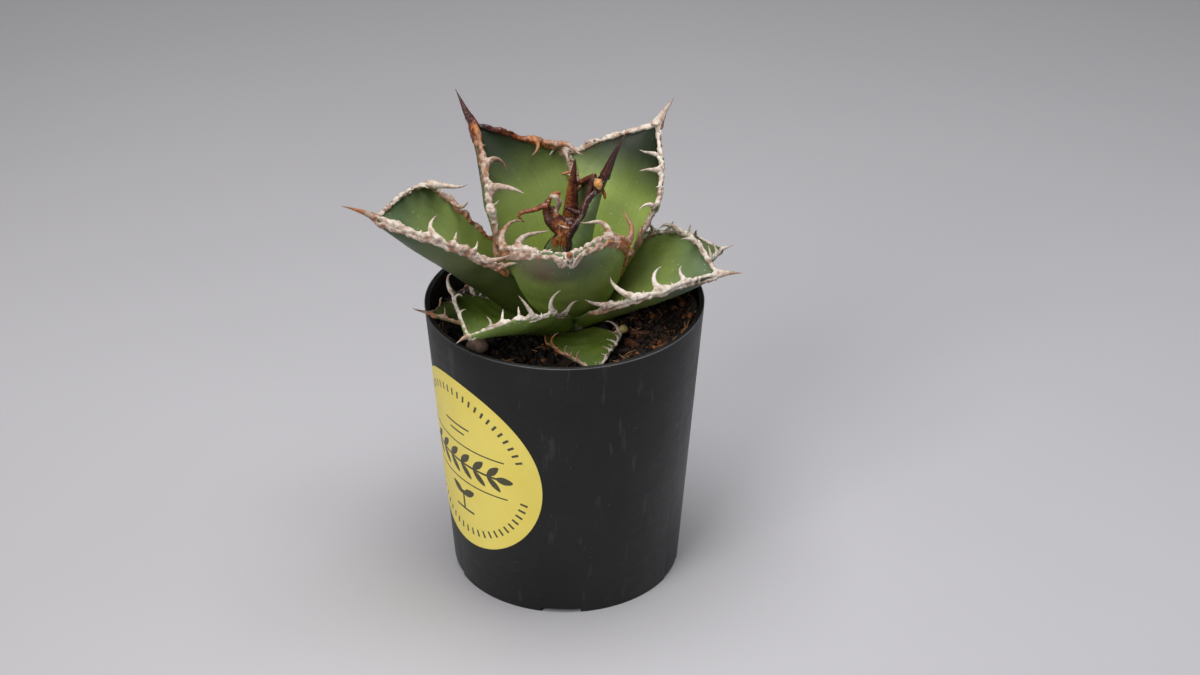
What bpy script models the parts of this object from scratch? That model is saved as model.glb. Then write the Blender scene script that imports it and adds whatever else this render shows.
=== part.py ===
"""A young agave rosette in a tall round nursery pot: pot, label, soil, stem, leaves, pellet and pebble.

The pot stands on z = 0 with its axis on the z axis. The label is on the side towards -X and -Y.
"""

import math

import bmesh
import bpy
from mathutils import Matrix, Vector

MM = 0.001
GAP = 0.3  # left between pieces that touch

# Pot, in millimetres
POT_HEIGHT = 113.0
POT_TOP_RADIUS = 52.5
POT_BASE_RADIUS = 43.9
WALL = 1.2
RIM_WIDTH = 2.0
RIM_DEPTH = 3.0
RIM_SHOULDER = 0.8  # the height of the slope under the rim, on the inside
RIM_ROUNDING = 0.4
FLOOR_UNDERSIDE = 2.0  # the floor is raised between the foot ring and the middle pad
FLOOR_TOP = 3.6
FLOOR_CHAMFER = 1.5
FOOT_ROUNDING = 1.0
FOOT_RING_WIDTH = 2.6
PAD_RADIUS = 11.0
PAD_SLOPE = 0.5
POT_STEPS = 60
NOTCH_COUNT = 5
NOTCH_WIDTH = 15.0
NOTCH_HEIGHT = 1.7
FIRST_NOTCH_ANGLE = -92.0
DRAIN_COUNT = 5
DRAIN_RADIUS = 3.5
DRAIN_CIRCLE = 26.0
DRAIN_STEPS = 16

# Round label wrapped on the wall
LABEL_RADIUS = 37.5
LABEL_THICKNESS = 0.2
LABEL_GAP = 0.5
LABEL_ANGLE = -144.0
LABEL_CENTRE_HEIGHT = 59.0
LABEL_RINGS = 7
LABEL_SEGMENTS = 44

# Soil: low on the left, heaped against the wall on the right
SOIL_LOW = 101.5
SOIL_HEAP = 8.0
SOIL_HEAP_REACH = 48.0
SOIL_HEAP_CURVE = 1.5
SOIL_FOOT_TAPER = 2.0
SOIL_FOOT_HEIGHT = 3.0
SOIL_RINGS = 5

# Stem
STEM_RADIUS = 7.0
STEM_TOP_RADIUS = 2.2
STEM_TOP = 115.0
STEM_TOP_ROUNDING = 0.5
STEM_FOOT_TAPER = 0.8
STEM_FOOT_HEIGHT = 2.0
STEM_CLEARANCE = 0.36  # over the soil, whose surface is flat between its rings
STEM_STEPS = 24

# Leaf blades
BLADE_STATIONS = 11
HALF_RING = 3  # points from the midrib to the margin on each face
MARGIN_THICKNESS = 1.0
TIP_THICKNESS = 2.2
FOOT_THICKNESS = 2.0
THICKEST = 0.4  # where along the blade it is thickest
FULLNESS = 0.8  # how evenly the thickness is kept towards the margins
NECK = 0.34  # the blade's width at its foot, as a part of its full width
SPINE_STATIONS = 4
SPINE_BASE_RADIUS = 1.1
SPINE_TAPER = 0.8

# Each leaf: azimuth at its foot and how far it swings sideways (turn), where its foot is (out, up), the
# rise of the midrib at foot and tip, blade length and half width, where it is widest (0 to 1), how full
# its shoulders are, half the angle of its trough at foot and tip, roll about the midrib at foot and tip,
# its greatest thickness, and the spine's length, lift and swing. Lengths are in millimetres.
LEAVES = [
    dict(name="leaf_left_low", azimuth=199, turn=-1, out=12, up=104.8, rise=(11, 21), length=41,
         half_width=10, widest=0.6, shoulder=1.8, trough=(19, 29), roll=(0, 1), thickness=3.0,
         spine=(8, 11, -4)),
    dict(name="leaf_back_right_low", azimuth=72, turn=0, out=12, up=104, rise=(5, 10), length=30,
         half_width=12, widest=0.6, shoulder=1.8, trough=(15, 30), roll=(0, 0), thickness=2.5,
         spine=(6, 10, 0)),
    dict(name="leaf_front_low", azimuth=-73, turn=-4, out=12, up=105, rise=(10, -1), length=33,
         half_width=15, widest=0.42, shoulder=1.1, trough=(13, 31), roll=(0, -4), thickness=2.5,
         spine=(4, 0, -10)),
    dict(name="leaf_back_left_low", azimuth=150, turn=0, out=12, up=105, rise=(8, 8), length=30,
         half_width=12, widest=0.6, shoulder=1.8, trough=(15, 30), roll=(0, 0), thickness=2.5,
         spine=(6, 10, 0)),
    dict(name="leaf_right_rear", azimuth=26, turn=-3, out=11, up=105.5, rise=(20, 9), length=56,
         half_width=21, widest=0.6, shoulder=1.8, trough=(31, 42), roll=(0, -2), thickness=3.5,
         spine=(6, -7, -3)),
    dict(name="leaf_front_left", azimuth=-130, turn=4, out=10, up=107, rise=(28, 9), length=47,
         half_width=21, widest=0.6, shoulder=1.8, trough=(22, 57), roll=(11, 2), thickness=4.0,
         spine=(8, -11, 9)),
    dict(name="leaf_back", azimuth=104, turn=0, out=10, up=107.5, rise=(18, 10), length=50,
         half_width=19, widest=0.6, shoulder=1.8, trough=(30, 42), roll=(0, 0), thickness=4.0,
         spine=(10, 10, 0)),
    dict(name="leaf_right", azimuth=-11, turn=1, out=9, up=109.5, rise=(30, 15), length=52,
         half_width=26, widest=0.6, shoulder=1.7, trough=(36, 50), roll=(1, 3), thickness=4.0,
         spine=(10, -10, -5)),
    dict(name="leaf_left", azimuth=194, turn=0, out=11, up=109.5, rise=(40, 37), length=74,
         half_width=25.5, widest=0.66, shoulder=1.9, trough=(34, 57), roll=(7, -4), thickness=5.0,
         spine=(15, -18, 6)),
    dict(name="leaf_back_right", azimuth=44, turn=-4, out=9, up=112.5, rise=(61, 49), length=68,
         half_width=26, widest=0.65, shoulder=1.25, trough=(40, 41), roll=(1, 2), thickness=4.0,
         spine=(13, -6, -4)),
    dict(name="leaf_front", azimuth=-88, turn=4, out=8, up=112.5, rise=(48, 56), length=50,
         half_width=26, widest=0.55, shoulder=1.9, trough=(42, 70), roll=(1, 6), thickness=5.0,
         spine=(8, -36, -18)),
    dict(name="leaf_back_left", azimuth=145, turn=5, out=6, up=114.5, rise=(63, 59), length=68,
         half_width=26, widest=0.6, shoulder=1.15, trough=(25, 57), roll=(-5, 4), thickness=4.0,
         spine=(16, 2, 3)),
    dict(name="leaf_inner_right", azimuth=-6, turn=3, out=5, up=115.5, rise=(88, 70), length=50,
         half_width=17, widest=0.5, shoulder=1.9, trough=(60, 59), roll=(0, 6), thickness=2.5,
         spine=(18, -6, 0)),
    dict(name="leaf_inner_front", azimuth=-122, turn=8, out=2.8, up=116.5, rise=(80, 84), length=29,
         half_width=7, widest=0.5, shoulder=1.8, trough=(60, 80), roll=(0, 0), thickness=2.0,
         spine=(9, 55, 0)),
    dict(name="leaf_bud", azimuth=-60, turn=0, out=0.5, up=116.5, rise=(88, 88), length=36,
         half_width=3.5, widest=0.3, shoulder=1.2, trough=(80, 120), roll=(0, 0), thickness=3.4,
         spine=(21, 0, 0)),
]
YOUNG_LEAVES = ("leaf_inner_right", "leaf_inner_front", "leaf_bud")

# Loose things on the soil: centre and size
PELLET = dict(at=(22.0, -12.0), radius=1.8)
PEBBLE = dict(at=(-32.0, -22.0), size=(9.0, 7.0, 6.5), angle=25.0)

COLOURS = {
    "pot_plastic": ((0.012, 0.013, 0.015), 0.35),
    "label_film": ((0.72, 0.65, 0.10), 0.45),
    "soil": ((0.035, 0.018, 0.009), 0.95),
    "stem": ((0.25, 0.30, 0.10), 0.7),
    "leaf": ((0.09, 0.17, 0.045), 0.5),
    "young_leaf": ((0.10, 0.16, 0.08), 0.5),
    "pellet": ((0.62, 0.50, 0.20), 0.7),
    "pebble": ((0.32, 0.20, 0.15), 0.85),
}


def clear_scene():
    for old in list(bpy.data.objects):
        bpy.data.objects.remove(old, do_unlink=True)


def new_collection(name):
    made = bpy.data.collections.new(name)
    bpy.context.scene.collection.children.link(made)
    return made


def material(name, look):
    made = bpy.data.materials.new(name)
    made.use_nodes = True
    shader = made.node_tree.nodes["Principled BSDF"]
    colour, roughness = COLOURS[look]
    shader.inputs["Base Color"].default_value = (*colour, 1.0)
    shader.inputs["Roughness"].default_value = roughness
    shader.inputs["Metallic"].default_value = 0.0
    return made


def place(mesh, name, collection, look):
    made = bpy.data.objects.new(name, mesh)
    made.data.materials.append(material(name + "_finish", look))
    collection.objects.link(made)
    return made


def metres(point):
    return Vector(point) * MM


def along(pair, t):
    """The value a part t of the way between the two of a pair."""
    return pair[0] + (pair[1] - pair[0]) * t


def outer_radius(height):
    return along((POT_BASE_RADIUS, POT_TOP_RADIUS), height / POT_HEIGHT)


def inner_radius(height):
    return outer_radius(height) - WALL


def around(radius, angle, height):
    turned = math.radians(angle)
    return Vector((radius * math.cos(turned), radius * math.sin(turned), height))


def turned_profile(name, points, steps, collection, look):
    """A solid of revolution. The outline runs from the axis, up inside, down outside, back to the axis."""
    mesh = bpy.data.meshes.new(name)
    mesh.from_pydata([metres((r, 0, z)) for r, z in points], [(i, i + 1) for i in range(len(points) - 1)], [])
    made = place(mesh, name, collection, look)
    screw = made.modifiers.new("turn", "SCREW")
    screw.steps = steps
    screw.render_steps = steps
    screw.use_merge_vertices = True
    screw.merge_threshold = 0.00001
    return made


def joined_cutters(name, shapes, collection):
    """One cutter mesh holding several separate closed shapes. Each shape fills the bmesh it is given."""
    mesh = bpy.data.meshes.new(name)
    form = bmesh.new()
    for shape in shapes:
        shape(form)
    form.to_mesh(mesh)
    form.free()
    made = bpy.data.objects.new(name, mesh)
    made.hide_render = True
    made.display_type = "WIRE"
    collection.objects.link(made)
    return made


def cut(target, cutter):
    boolean = target.modifiers.new(cutter.name, "BOOLEAN")
    boolean.operation = "DIFFERENCE"
    boolean.solver = "EXACT"
    boolean.object = cutter


def notch(angle):
    """A block across the foot ring, as high as the notch."""
    def build(form):
        depth = 4 * FOOT_RING_WIDTH
        centre = around(POT_BASE_RADIUS, angle, 0) * MM
        stretch = Matrix.Diagonal((depth * MM, NOTCH_WIDTH * MM, 2 * NOTCH_HEIGHT * MM, 1))
        turn = Matrix.Rotation(math.radians(angle), 4, "Z")
        bmesh.ops.create_cube(form, size=1, matrix=Matrix.Translation(centre) @ turn @ stretch)
    return build


def drain(angle):
    def build(form):
        centre = around(DRAIN_CIRCLE, angle, FLOOR_UNDERSIDE) * MM
        bmesh.ops.create_cone(form, cap_ends=True, segments=DRAIN_STEPS, radius1=DRAIN_RADIUS * MM,
                              radius2=DRAIN_RADIUS * MM, depth=4 * FLOOR_TOP * MM,
                              matrix=Matrix.Translation(centre))
    return build


def build_pot(parts, cutters):
    foot_inside = POT_BASE_RADIUS - FOOT_RING_WIDTH
    rim_foot = POT_HEIGHT - RIM_DEPTH
    rim_inside = POT_TOP_RADIUS - RIM_WIDTH
    outline = [
        (0, FLOOR_TOP),
        (inner_radius(FLOOR_TOP) - FLOOR_CHAMFER, FLOOR_TOP),
        (inner_radius(FLOOR_TOP + FLOOR_CHAMFER), FLOOR_TOP + FLOOR_CHAMFER),
        (inner_radius(rim_foot), rim_foot),
        (rim_inside, rim_foot + RIM_SHOULDER),
        (rim_inside, POT_HEIGHT - RIM_ROUNDING),
        (rim_inside + RIM_ROUNDING, POT_HEIGHT),
        (POT_TOP_RADIUS - RIM_ROUNDING, POT_HEIGHT),
        (POT_TOP_RADIUS, POT_HEIGHT - RIM_ROUNDING),
        (outer_radius(FOOT_ROUNDING), FOOT_ROUNDING),
        (POT_BASE_RADIUS - FOOT_ROUNDING, 0),
        (foot_inside, 0),
        (foot_inside - PAD_SLOPE, FLOOR_UNDERSIDE),
        (PAD_RADIUS + PAD_SLOPE, FLOOR_UNDERSIDE),
        (PAD_RADIUS, 0),
        (0, 0),
    ]
    pot = turned_profile("pot", outline, POT_STEPS, parts, "pot_plastic")
    notches = [notch(FIRST_NOTCH_ANGLE + i * 360 / NOTCH_COUNT) for i in range(NOTCH_COUNT)]
    drains = [drain(i * 360 / DRAIN_COUNT) for i in range(DRAIN_COUNT)]
    cut(pot, joined_cutters("foot_notch_cutters", notches, cutters))
    cut(pot, joined_cutters("drain_hole_cutters", drains, cutters))


def soil_height(x):
    """The height of the soil's surface, which rises towards the wall on the right."""
    part = min(max(x / SOIL_HEAP_REACH, 0.0), 1.0)
    return SOIL_LOW + SOIL_HEAP * part ** SOIL_HEAP_CURVE


def build_soil(parts):
    """A plug that fills the pot: a turned body whose top ring and top face follow the soil's surface."""
    floor = FLOOR_TOP + GAP
    shoulder = floor + SOIL_FOOT_HEIGHT
    form = bmesh.new()

    def level_ring(radius, height):
        return [form.verts.new(metres(around(radius, a * 360 / POT_STEPS, height))) for a in range(POT_STEPS)]

    low = level_ring(inner_radius(floor) - SOIL_FOOT_TAPER, floor)
    rings = [low, level_ring(inner_radius(shoulder) - GAP, shoulder)]
    for ring in range(SOIL_RINGS, 0, -1):
        level = []
        for a in range(POT_STEPS):
            radius = (inner_radius(SOIL_LOW) - GAP) * ring / SOIL_RINGS
            spot = around(radius, a * 360 / POT_STEPS, 0)
            spot.z = soil_height(spot.x)
            level.append(form.verts.new(spot * MM))
        rings.append(level)
    for below, above in zip(rings, rings[1:]):
        for a in range(POT_STEPS):
            b = (a + 1) % POT_STEPS
            form.faces.new((below[a], below[b], above[b], above[a]))
    form.faces.new(reversed(low))
    middle = form.verts.new(metres((0, 0, soil_height(0))))
    for a in range(POT_STEPS):
        form.faces.new((rings[-1][a], rings[-1][(a + 1) % POT_STEPS], middle))
    mesh = bpy.data.meshes.new("soil")
    form.to_mesh(mesh)
    form.free()
    place(mesh, "soil", parts, "soil")


def build_label(parts):
    """A disc laid on the cone of the wall: each point keeps its distance along and up the wall."""
    slant = math.hypot(POT_HEIGHT, POT_TOP_RADIUS - POT_BASE_RADIUS) / POT_HEIGHT

    def on_wall(sideways, upwards, lift):
        height = LABEL_CENTRE_HEIGHT + upwards / slant
        radius = outer_radius(height)
        angle = LABEL_ANGLE + math.degrees(sideways / radius)
        return metres(around(radius + LABEL_GAP + lift, angle, height))

    form = bmesh.new()
    faces = []
    for lift in (0, LABEL_THICKNESS):
        middle = form.verts.new(on_wall(0, 0, lift))
        rings = []
        for ring in range(1, LABEL_RINGS + 1):
            radius = LABEL_RADIUS * ring / LABEL_RINGS
            turns = [2 * math.pi * k / LABEL_SEGMENTS for k in range(LABEL_SEGMENTS)]
            rings.append([form.verts.new(on_wall(radius * math.cos(a), radius * math.sin(a), lift))
                          for a in turns])
        faces.append((middle, rings))
    for (middle, rings), outward in zip(faces, (False, True)):
        for k in range(LABEL_SEGMENTS):
            n = (k + 1) % LABEL_SEGMENTS
            strips = [(middle, rings[0][k], rings[0][n])]
            strips += [(a[k], b[k], b[n], a[n]) for a, b in zip(rings, rings[1:])]
            for strip in strips:
                form.faces.new(strip if outward else reversed(strip))
    inside, outside = faces[0][1][-1], faces[1][1][-1]
    for k in range(LABEL_SEGMENTS):
        n = (k + 1) % LABEL_SEGMENTS
        form.faces.new((inside[k], inside[n], outside[n], outside[k]))
    mesh = bpy.data.meshes.new("label")
    form.to_mesh(mesh)
    form.free()
    place(mesh, "label", parts, "label_film")


def build_stem(parts):
    foot = soil_height(STEM_RADIUS) + STEM_CLEARANCE
    outline = [
        (0, STEM_TOP),
        (STEM_TOP_RADIUS - STEM_TOP_ROUNDING, STEM_TOP),
        (STEM_TOP_RADIUS, STEM_TOP - STEM_TOP_ROUNDING),
        (STEM_RADIUS, foot + STEM_FOOT_HEIGHT),
        (STEM_RADIUS - STEM_FOOT_TAPER, foot),
        (0, foot),
    ]
    turned_profile("stem", outline, STEM_STEPS, parts, "stem")


def direction(rise, heading):
    rise, heading = math.radians(rise), math.radians(heading)
    return Vector((math.cos(rise) * math.cos(heading), math.cos(rise) * math.sin(heading), math.sin(rise)))


def midrib(leaf, stations):
    """For each place along the midrib: its part of the length, its point, and its side and up directions."""
    steps = 8  # small steps between stations, so that the curve is true
    spot = around(leaf["out"], leaf["azimuth"], leaf["up"])
    places = []
    for k in range(stations * steps + 1):
        t = k / (stations * steps)
        heading = leaf["azimuth"] + leaf["turn"] * t
        forward = direction(along(leaf["rise"], t), heading)
        if k % steps == 0:
            level = Vector((-math.sin(math.radians(heading)), math.cos(math.radians(heading)), 0))
            roll = Matrix.Rotation(math.radians(along(leaf["roll"], t)), 3, forward)
            side = roll @ level
            places.append((t, spot.copy(), side, forward.cross(side)))
        spot += forward * leaf["length"] / (stations * steps)
    return places


def blade_width(leaf, t):
    """Half the blade's width at t: a narrow foot, the widest place, then full shoulders to the tip."""
    if t < leaf["widest"]:
        return leaf["half_width"] * along((NECK, 1.0), math.sin(math.pi / 2 * t / leaf["widest"]))
    rest = (t - leaf["widest"]) / (1 - leaf["widest"])
    return leaf["half_width"] * (1 - rest ** leaf["shoulder"]) + SPINE_BASE_RADIUS * rest


def blade_thickness(leaf, t):
    if t < THICKEST:
        return along((FOOT_THICKNESS, leaf["thickness"]), t / THICKEST)
    return along((leaf["thickness"], TIP_THICKNESS), (t - THICKEST) / (1 - THICKEST))


def blade_ring(leaf, t, spot, side, up):
    """A closed cross-section: the hollow upper face, then the rounder lower face, margin to margin."""
    width = blade_width(leaf, t)
    bend = math.radians(along(leaf["trough"], t))
    upper, lower = [], []
    for k in range(-HALF_RING, HALF_RING + 1):
        u = k / HALF_RING
        across = side * (width * math.sin(bend * u) / bend)
        lift = up * (width * (1 - math.cos(bend * u)) / bend)
        face = spot + across + lift
        inward = up * math.cos(bend * u) - side * math.sin(bend * u)
        depth = along((MARGIN_THICKNESS, blade_thickness(leaf, t)), (1 - u * u) ** FULLNESS)
        upper.append(face)
        lower.append(face - inward * depth)
    return upper + lower[::-1]


def spine_rings(leaf, count, tip, side, up):
    """Round sections of the end spine, each smaller than the last, and its point."""
    length, lift, swing = leaf["spine"]
    rise = leaf["rise"][1]
    heading = leaf["azimuth"] + leaf["turn"]
    centre = tip - up * TIP_THICKNESS / 2
    rings = []
    for k in range(1, SPINE_STATIONS + 1):
        t = k / SPINE_STATIONS
        middle = t - 0.5 / SPINE_STATIONS
        centre = centre + direction(rise + lift * middle, heading + swing * middle) * length / SPINE_STATIONS
        if k == SPINE_STATIONS:
            return rings, centre
        radius = SPINE_BASE_RADIUS * (1 - t) ** SPINE_TAPER
        half = count // 2
        ring = []
        for i in range(count):
            # The upper face's points run from one side to the other, and the lower face's points back.
            part = (i + 0.5) / half if i < half else (i - half + 0.5) / half
            turn = math.pi * (1 - part) if i < half else -math.pi * part
            ring.append(centre + side * (math.cos(turn) * radius) + up * (math.sin(turn) * radius))
        rings.append(ring)


def build_leaf(leaf, parts):
    places = midrib(leaf, BLADE_STATIONS)
    outlines = [blade_ring(leaf, *station) for station in places]
    _, tip, side, up = places[-1]
    spines, point = spine_rings(leaf, len(outlines[0]), tip, side, up)
    form = bmesh.new()
    rings = [[form.verts.new(spot * MM) for spot in outline] for outline in outlines + spines]
    count = len(rings[0])
    for near, far in zip(rings, rings[1:]):
        for a in range(count):
            b = (a + 1) % count
            form.faces.new((near[a], near[b], far[b], far[a]))
    end = form.verts.new(point * MM)
    for a in range(count):
        form.faces.new((rings[-1][a], rings[-1][(a + 1) % count], end))
    form.faces.new(reversed(rings[0]))
    bmesh.ops.triangulate(form, faces=form.faces[:])
    bmesh.ops.recalc_face_normals(form, faces=form.faces[:])
    mesh = bpy.data.meshes.new(leaf["name"])
    form.to_mesh(mesh)
    form.free()
    place(mesh, leaf["name"], parts, "young_leaf" if leaf["name"] in YOUNG_LEAVES else "leaf")


def build_loose_pieces(parts):
    form = bmesh.new()
    x, y = PELLET["at"]
    radius = PELLET["radius"]
    centre = metres((x, y, soil_height(x + radius) + GAP + radius))
    bmesh.ops.create_uvsphere(form, u_segments=12, v_segments=8, radius=radius * MM,
                              matrix=Matrix.Translation(centre))
    mesh = bpy.data.meshes.new("fertiliser_pellet")
    form.to_mesh(mesh)
    form.free()
    place(mesh, "fertiliser_pellet", parts, "pellet")

    form = bmesh.new()
    x, y = PEBBLE["at"]
    size = Vector(PEBBLE["size"]) * MM
    centre = metres((x, y, soil_height(x) + GAP)) + Vector((0, 0, size.z / 2))
    turn = Matrix.Rotation(math.radians(PEBBLE["angle"]), 4, "Z")
    bmesh.ops.create_icosphere(form, subdivisions=2, radius=0.5,
                               matrix=Matrix.Translation(centre) @ turn @ Matrix.Diagonal((*size, 1)))
    mesh = bpy.data.meshes.new("pebble")
    form.to_mesh(mesh)
    form.free()
    place(mesh, "pebble", parts, "pebble")


def main():
    clear_scene()
    parts = new_collection("potted_agave")
    cutters = new_collection("cutters")
    build_pot(parts, cutters)
    build_label(parts)
    build_soil(parts)
    build_stem(parts)
    for leaf in LEAVES:
        build_leaf(leaf, parts)
    build_loose_pieces(parts)


main()
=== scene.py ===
import math
import random

import bpy
from mathutils import Matrix, Vector, kdtree, noise


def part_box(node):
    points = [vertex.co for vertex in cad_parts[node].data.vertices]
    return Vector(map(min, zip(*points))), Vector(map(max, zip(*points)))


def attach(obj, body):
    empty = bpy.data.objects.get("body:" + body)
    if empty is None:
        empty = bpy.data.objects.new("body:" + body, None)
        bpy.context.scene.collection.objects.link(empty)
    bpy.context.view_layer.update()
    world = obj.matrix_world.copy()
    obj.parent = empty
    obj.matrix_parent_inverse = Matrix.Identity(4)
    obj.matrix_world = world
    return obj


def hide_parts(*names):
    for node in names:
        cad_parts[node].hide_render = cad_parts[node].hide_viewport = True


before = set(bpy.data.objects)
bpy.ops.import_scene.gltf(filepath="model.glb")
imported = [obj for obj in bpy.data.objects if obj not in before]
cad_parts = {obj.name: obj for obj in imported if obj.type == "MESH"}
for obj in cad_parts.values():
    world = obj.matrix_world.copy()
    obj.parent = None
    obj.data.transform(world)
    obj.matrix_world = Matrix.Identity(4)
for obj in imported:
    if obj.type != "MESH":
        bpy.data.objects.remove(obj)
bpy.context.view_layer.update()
mm = 0.001
print("frame loaded")


# small helpers for modelling

def deselectAll():
    if bpy.context.object and bpy.context.object.mode != "OBJECT":
        bpy.ops.object.mode_set(mode="OBJECT")
    bpy.ops.object.select_all(action="DESELECT")


def pick(piece):
    deselectAll()
    piece.select_set(True)
    bpy.context.view_layer.objects.active = piece


def settle(piece):
    pick(piece)
    bpy.ops.object.transform_apply(location=True, rotation=True, scale=True)


def applyModifier(piece, kind, **settings):
    pick(piece)
    modifier = piece.modifiers.new(kind.lower(), kind)
    for name, value in settings.items():
        setattr(modifier, name, value)
    bpy.ops.object.modifier_apply(modifier=modifier.name)


def smoothShade(piece, angle=40):
    pick(piece)
    bpy.ops.object.shade_smooth_by_angle(angle=math.radians(angle))


def selectFaces(piece, wanted):
    # leaves the piece in edit mode with only the faces that pass the test selected
    pick(piece)
    bpy.ops.object.mode_set(mode="EDIT")
    bpy.ops.mesh.select_mode(type="FACE")
    bpy.ops.mesh.select_all(action="DESELECT")
    bpy.ops.object.mode_set(mode="OBJECT")
    for face in piece.data.polygons:
        face.select = wanted(face)
    bpy.ops.object.mode_set(mode="EDIT")


def between(pair, t):
    return pair[0] + (pair[1] - pair[0]) * t


def ramp(stops, t):
    # stops: a list of (place, value); the value in between changes evenly
    if t <= stops[0][0]:
        return stops[0][1]
    for (start, low), (end, high) in zip(stops, stops[1:]):
        if t <= end:
            return low + (high - low) * (t - start) / (end - start)
    return stops[-1][1]


def wobble(point, size, seed=0.0):
    # smooth noise from -1 to 1, with lumps of about that size in metres
    return noise.noise(Vector(point) / size + Vector((seed, seed * 1.7, -seed)))


def setPointValues(piece, name, values):
    layer = piece.data.attributes.new(name, "FLOAT", "POINT")
    layer.data.foreach_set("value", values)


# small helpers for materials

def newMaterial(name):
    material = bpy.data.materials.new(name)
    material.use_nodes = True
    return material, material.node_tree, material.node_tree.nodes["Principled BSDF"]


def addNode(tree, kind, **settings):
    node = tree.nodes.new(kind)
    for name, value in settings.items():
        setattr(node, name, value)
    return node


def feed(tree, value, socket):
    if hasattr(value, "is_output"):
        tree.links.new(value, socket)
    else:
        socket.default_value = value


def mathOf(tree, operation, *values):
    node = addNode(tree, "ShaderNodeMath", operation=operation)
    for value, socket in zip(values, node.inputs):
        feed(tree, value, socket)
    return node.outputs[0]


def plus(tree, first, second):
    return mathOf(tree, "ADD", first, second)


def minus(tree, first, second):
    return mathOf(tree, "SUBTRACT", first, second)


def times(tree, first, second):
    return mathOf(tree, "MULTIPLY", first, second)


def sizeOf(tree, value):
    return mathOf(tree, "ABSOLUTE", value)


def stretched(tree, vector, scale):
    node = addNode(tree, "ShaderNodeMapping")
    feed(tree, vector, node.inputs["Vector"])
    node.inputs["Scale"].default_value = scale
    return node.outputs["Vector"]


def splitOf(tree, vector):
    node = addNode(tree, "ShaderNodeSeparateXYZ")
    feed(tree, vector, node.inputs[0])
    return node.outputs


def noiseOf(tree, vector, scale, detail=4.0, roughness=0.55):
    node = addNode(tree, "ShaderNodeTexNoise")
    feed(tree, vector, node.inputs["Vector"])
    node.inputs["Scale"].default_value = scale
    node.inputs["Detail"].default_value = detail
    node.inputs["Roughness"].default_value = roughness
    return node.outputs["Fac"]


def rampOf(tree, value, stops, smooth=False):
    node = addNode(tree, "ShaderNodeValToRGB")
    feed(tree, value, node.inputs["Fac"])
    elements = node.color_ramp.elements
    while len(elements) > len(stops):
        elements.remove(elements[-1])
    while len(elements) < len(stops):
        elements.new(1.0)
    for element, (place, colour) in zip(elements, stops):
        element.position = place
        shade = colour if isinstance(colour, tuple) else (colour, colour, colour)
        element.color = (*shade, 1.0)
    if smooth:
        node.color_ramp.interpolation = "EASE"
    return node.outputs["Color"]


def mixOf(tree, factor, first, second):
    node = addNode(tree, "ShaderNodeMix", data_type="RGBA")
    feed(tree, factor, node.inputs["Factor"])
    for value, socket in ((first, node.inputs[6]), (second, node.inputs[7])):
        feed(tree, value if hasattr(value, "is_output") else (*value, 1.0), socket)
    return node.outputs[2]


def bumpOf(tree, shader, height, strength, distance):
    node = addNode(tree, "ShaderNodeBump")
    node.inputs["Strength"].default_value = strength
    node.inputs["Distance"].default_value = distance
    feed(tree, height, node.inputs["Height"])
    feed(tree, node.outputs["Normal"], shader.inputs["Normal"])


def objectPoint(tree):
    return addNode(tree, "ShaderNodeTexCoord").outputs["Object"]


def attributeOf(tree, name):
    return addNode(tree, "ShaderNodeAttribute", attribute_name=name).outputs["Fac"]


def useGroup(tree, group, **values):
    node = addNode(tree, "ShaderNodeGroup", node_tree=group)
    for name, value in values.items():
        feed(tree, value, node.inputs[name])
    return node.outputs


def newGroup(name, inputs, outputs):
    group = bpy.data.node_groups.new(name, "ShaderNodeTree")
    for label, kind, value in inputs:
        socket = group.interface.new_socket(name=label, in_out="INPUT", socket_type=kind)
        if value is not None:
            socket.default_value = value
    for label, kind in outputs:
        group.interface.new_socket(name=label, in_out="OUTPUT", socket_type=kind)
    return group, addNode(group, "NodeGroupInput").outputs, addNode(group, "NodeGroupOutput").inputs


def makePatches():
    # soft patches that run from 0 to 1: cover says how much of the surface they take
    group, given, result = newGroup("patches", [
        ("Vector", "NodeSocketVector", None),
        ("Scale", "NodeSocketFloat", 100.0),
        ("Cover", "NodeSocketFloat", 0.5),
        ("Softness", "NodeSocketFloat", 0.15),
    ], [("Mask", "NodeSocketFloat")])
    grain = addNode(group, "ShaderNodeTexNoise")
    grain.inputs["Detail"].default_value = 5.0
    grain.inputs["Roughness"].default_value = 0.6
    feed(group, given["Vector"], grain.inputs["Vector"])
    feed(group, given["Scale"], grain.inputs["Scale"])
    level = minus(group, 1.0, given["Cover"])
    spread = addNode(group, "ShaderNodeMapRange", interpolation_type="SMOOTHSTEP")
    feed(group, grain.outputs["Fac"], spread.inputs["Value"])
    feed(group, minus(group, level, given["Softness"]), spread.inputs["From Min"])
    feed(group, plus(group, level, given["Softness"]), spread.inputs["From Max"])
    feed(group, spread.outputs["Result"], result["Mask"])
    return group


def makeSpecks():
    # small scattered specks, such as dust grains and pale dots
    group, given, result = newGroup("specks", [
        ("Vector", "NodeSocketVector", None),
        ("Scale", "NodeSocketFloat", 900.0),
        ("Size", "NodeSocketFloat", 0.18),
        ("Share", "NodeSocketFloat", 0.3),
    ], [("Mask", "NodeSocketFloat")])
    cells = addNode(group, "ShaderNodeTexVoronoi")
    feed(group, given["Vector"], cells.inputs["Vector"])
    feed(group, given["Scale"], cells.inputs["Scale"])
    near = mathOf(group, "LESS_THAN", cells.outputs["Distance"], given["Size"])
    chosen = addNode(group, "ShaderNodeSeparateColor")
    feed(group, cells.outputs["Color"], chosen.inputs["Color"])
    some = mathOf(group, "LESS_THAN", chosen.outputs["Red"], given["Share"])
    feed(group, times(group, near, some), result["Mask"])
    return group


patches = makePatches()
specks = makeSpecks()
print("shared effects made")


def patchesOf(tree, vector, scale, cover, softness):
    return useGroup(tree, patches, Vector=vector, Scale=scale, Cover=cover, Softness=softness)["Mask"]


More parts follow.
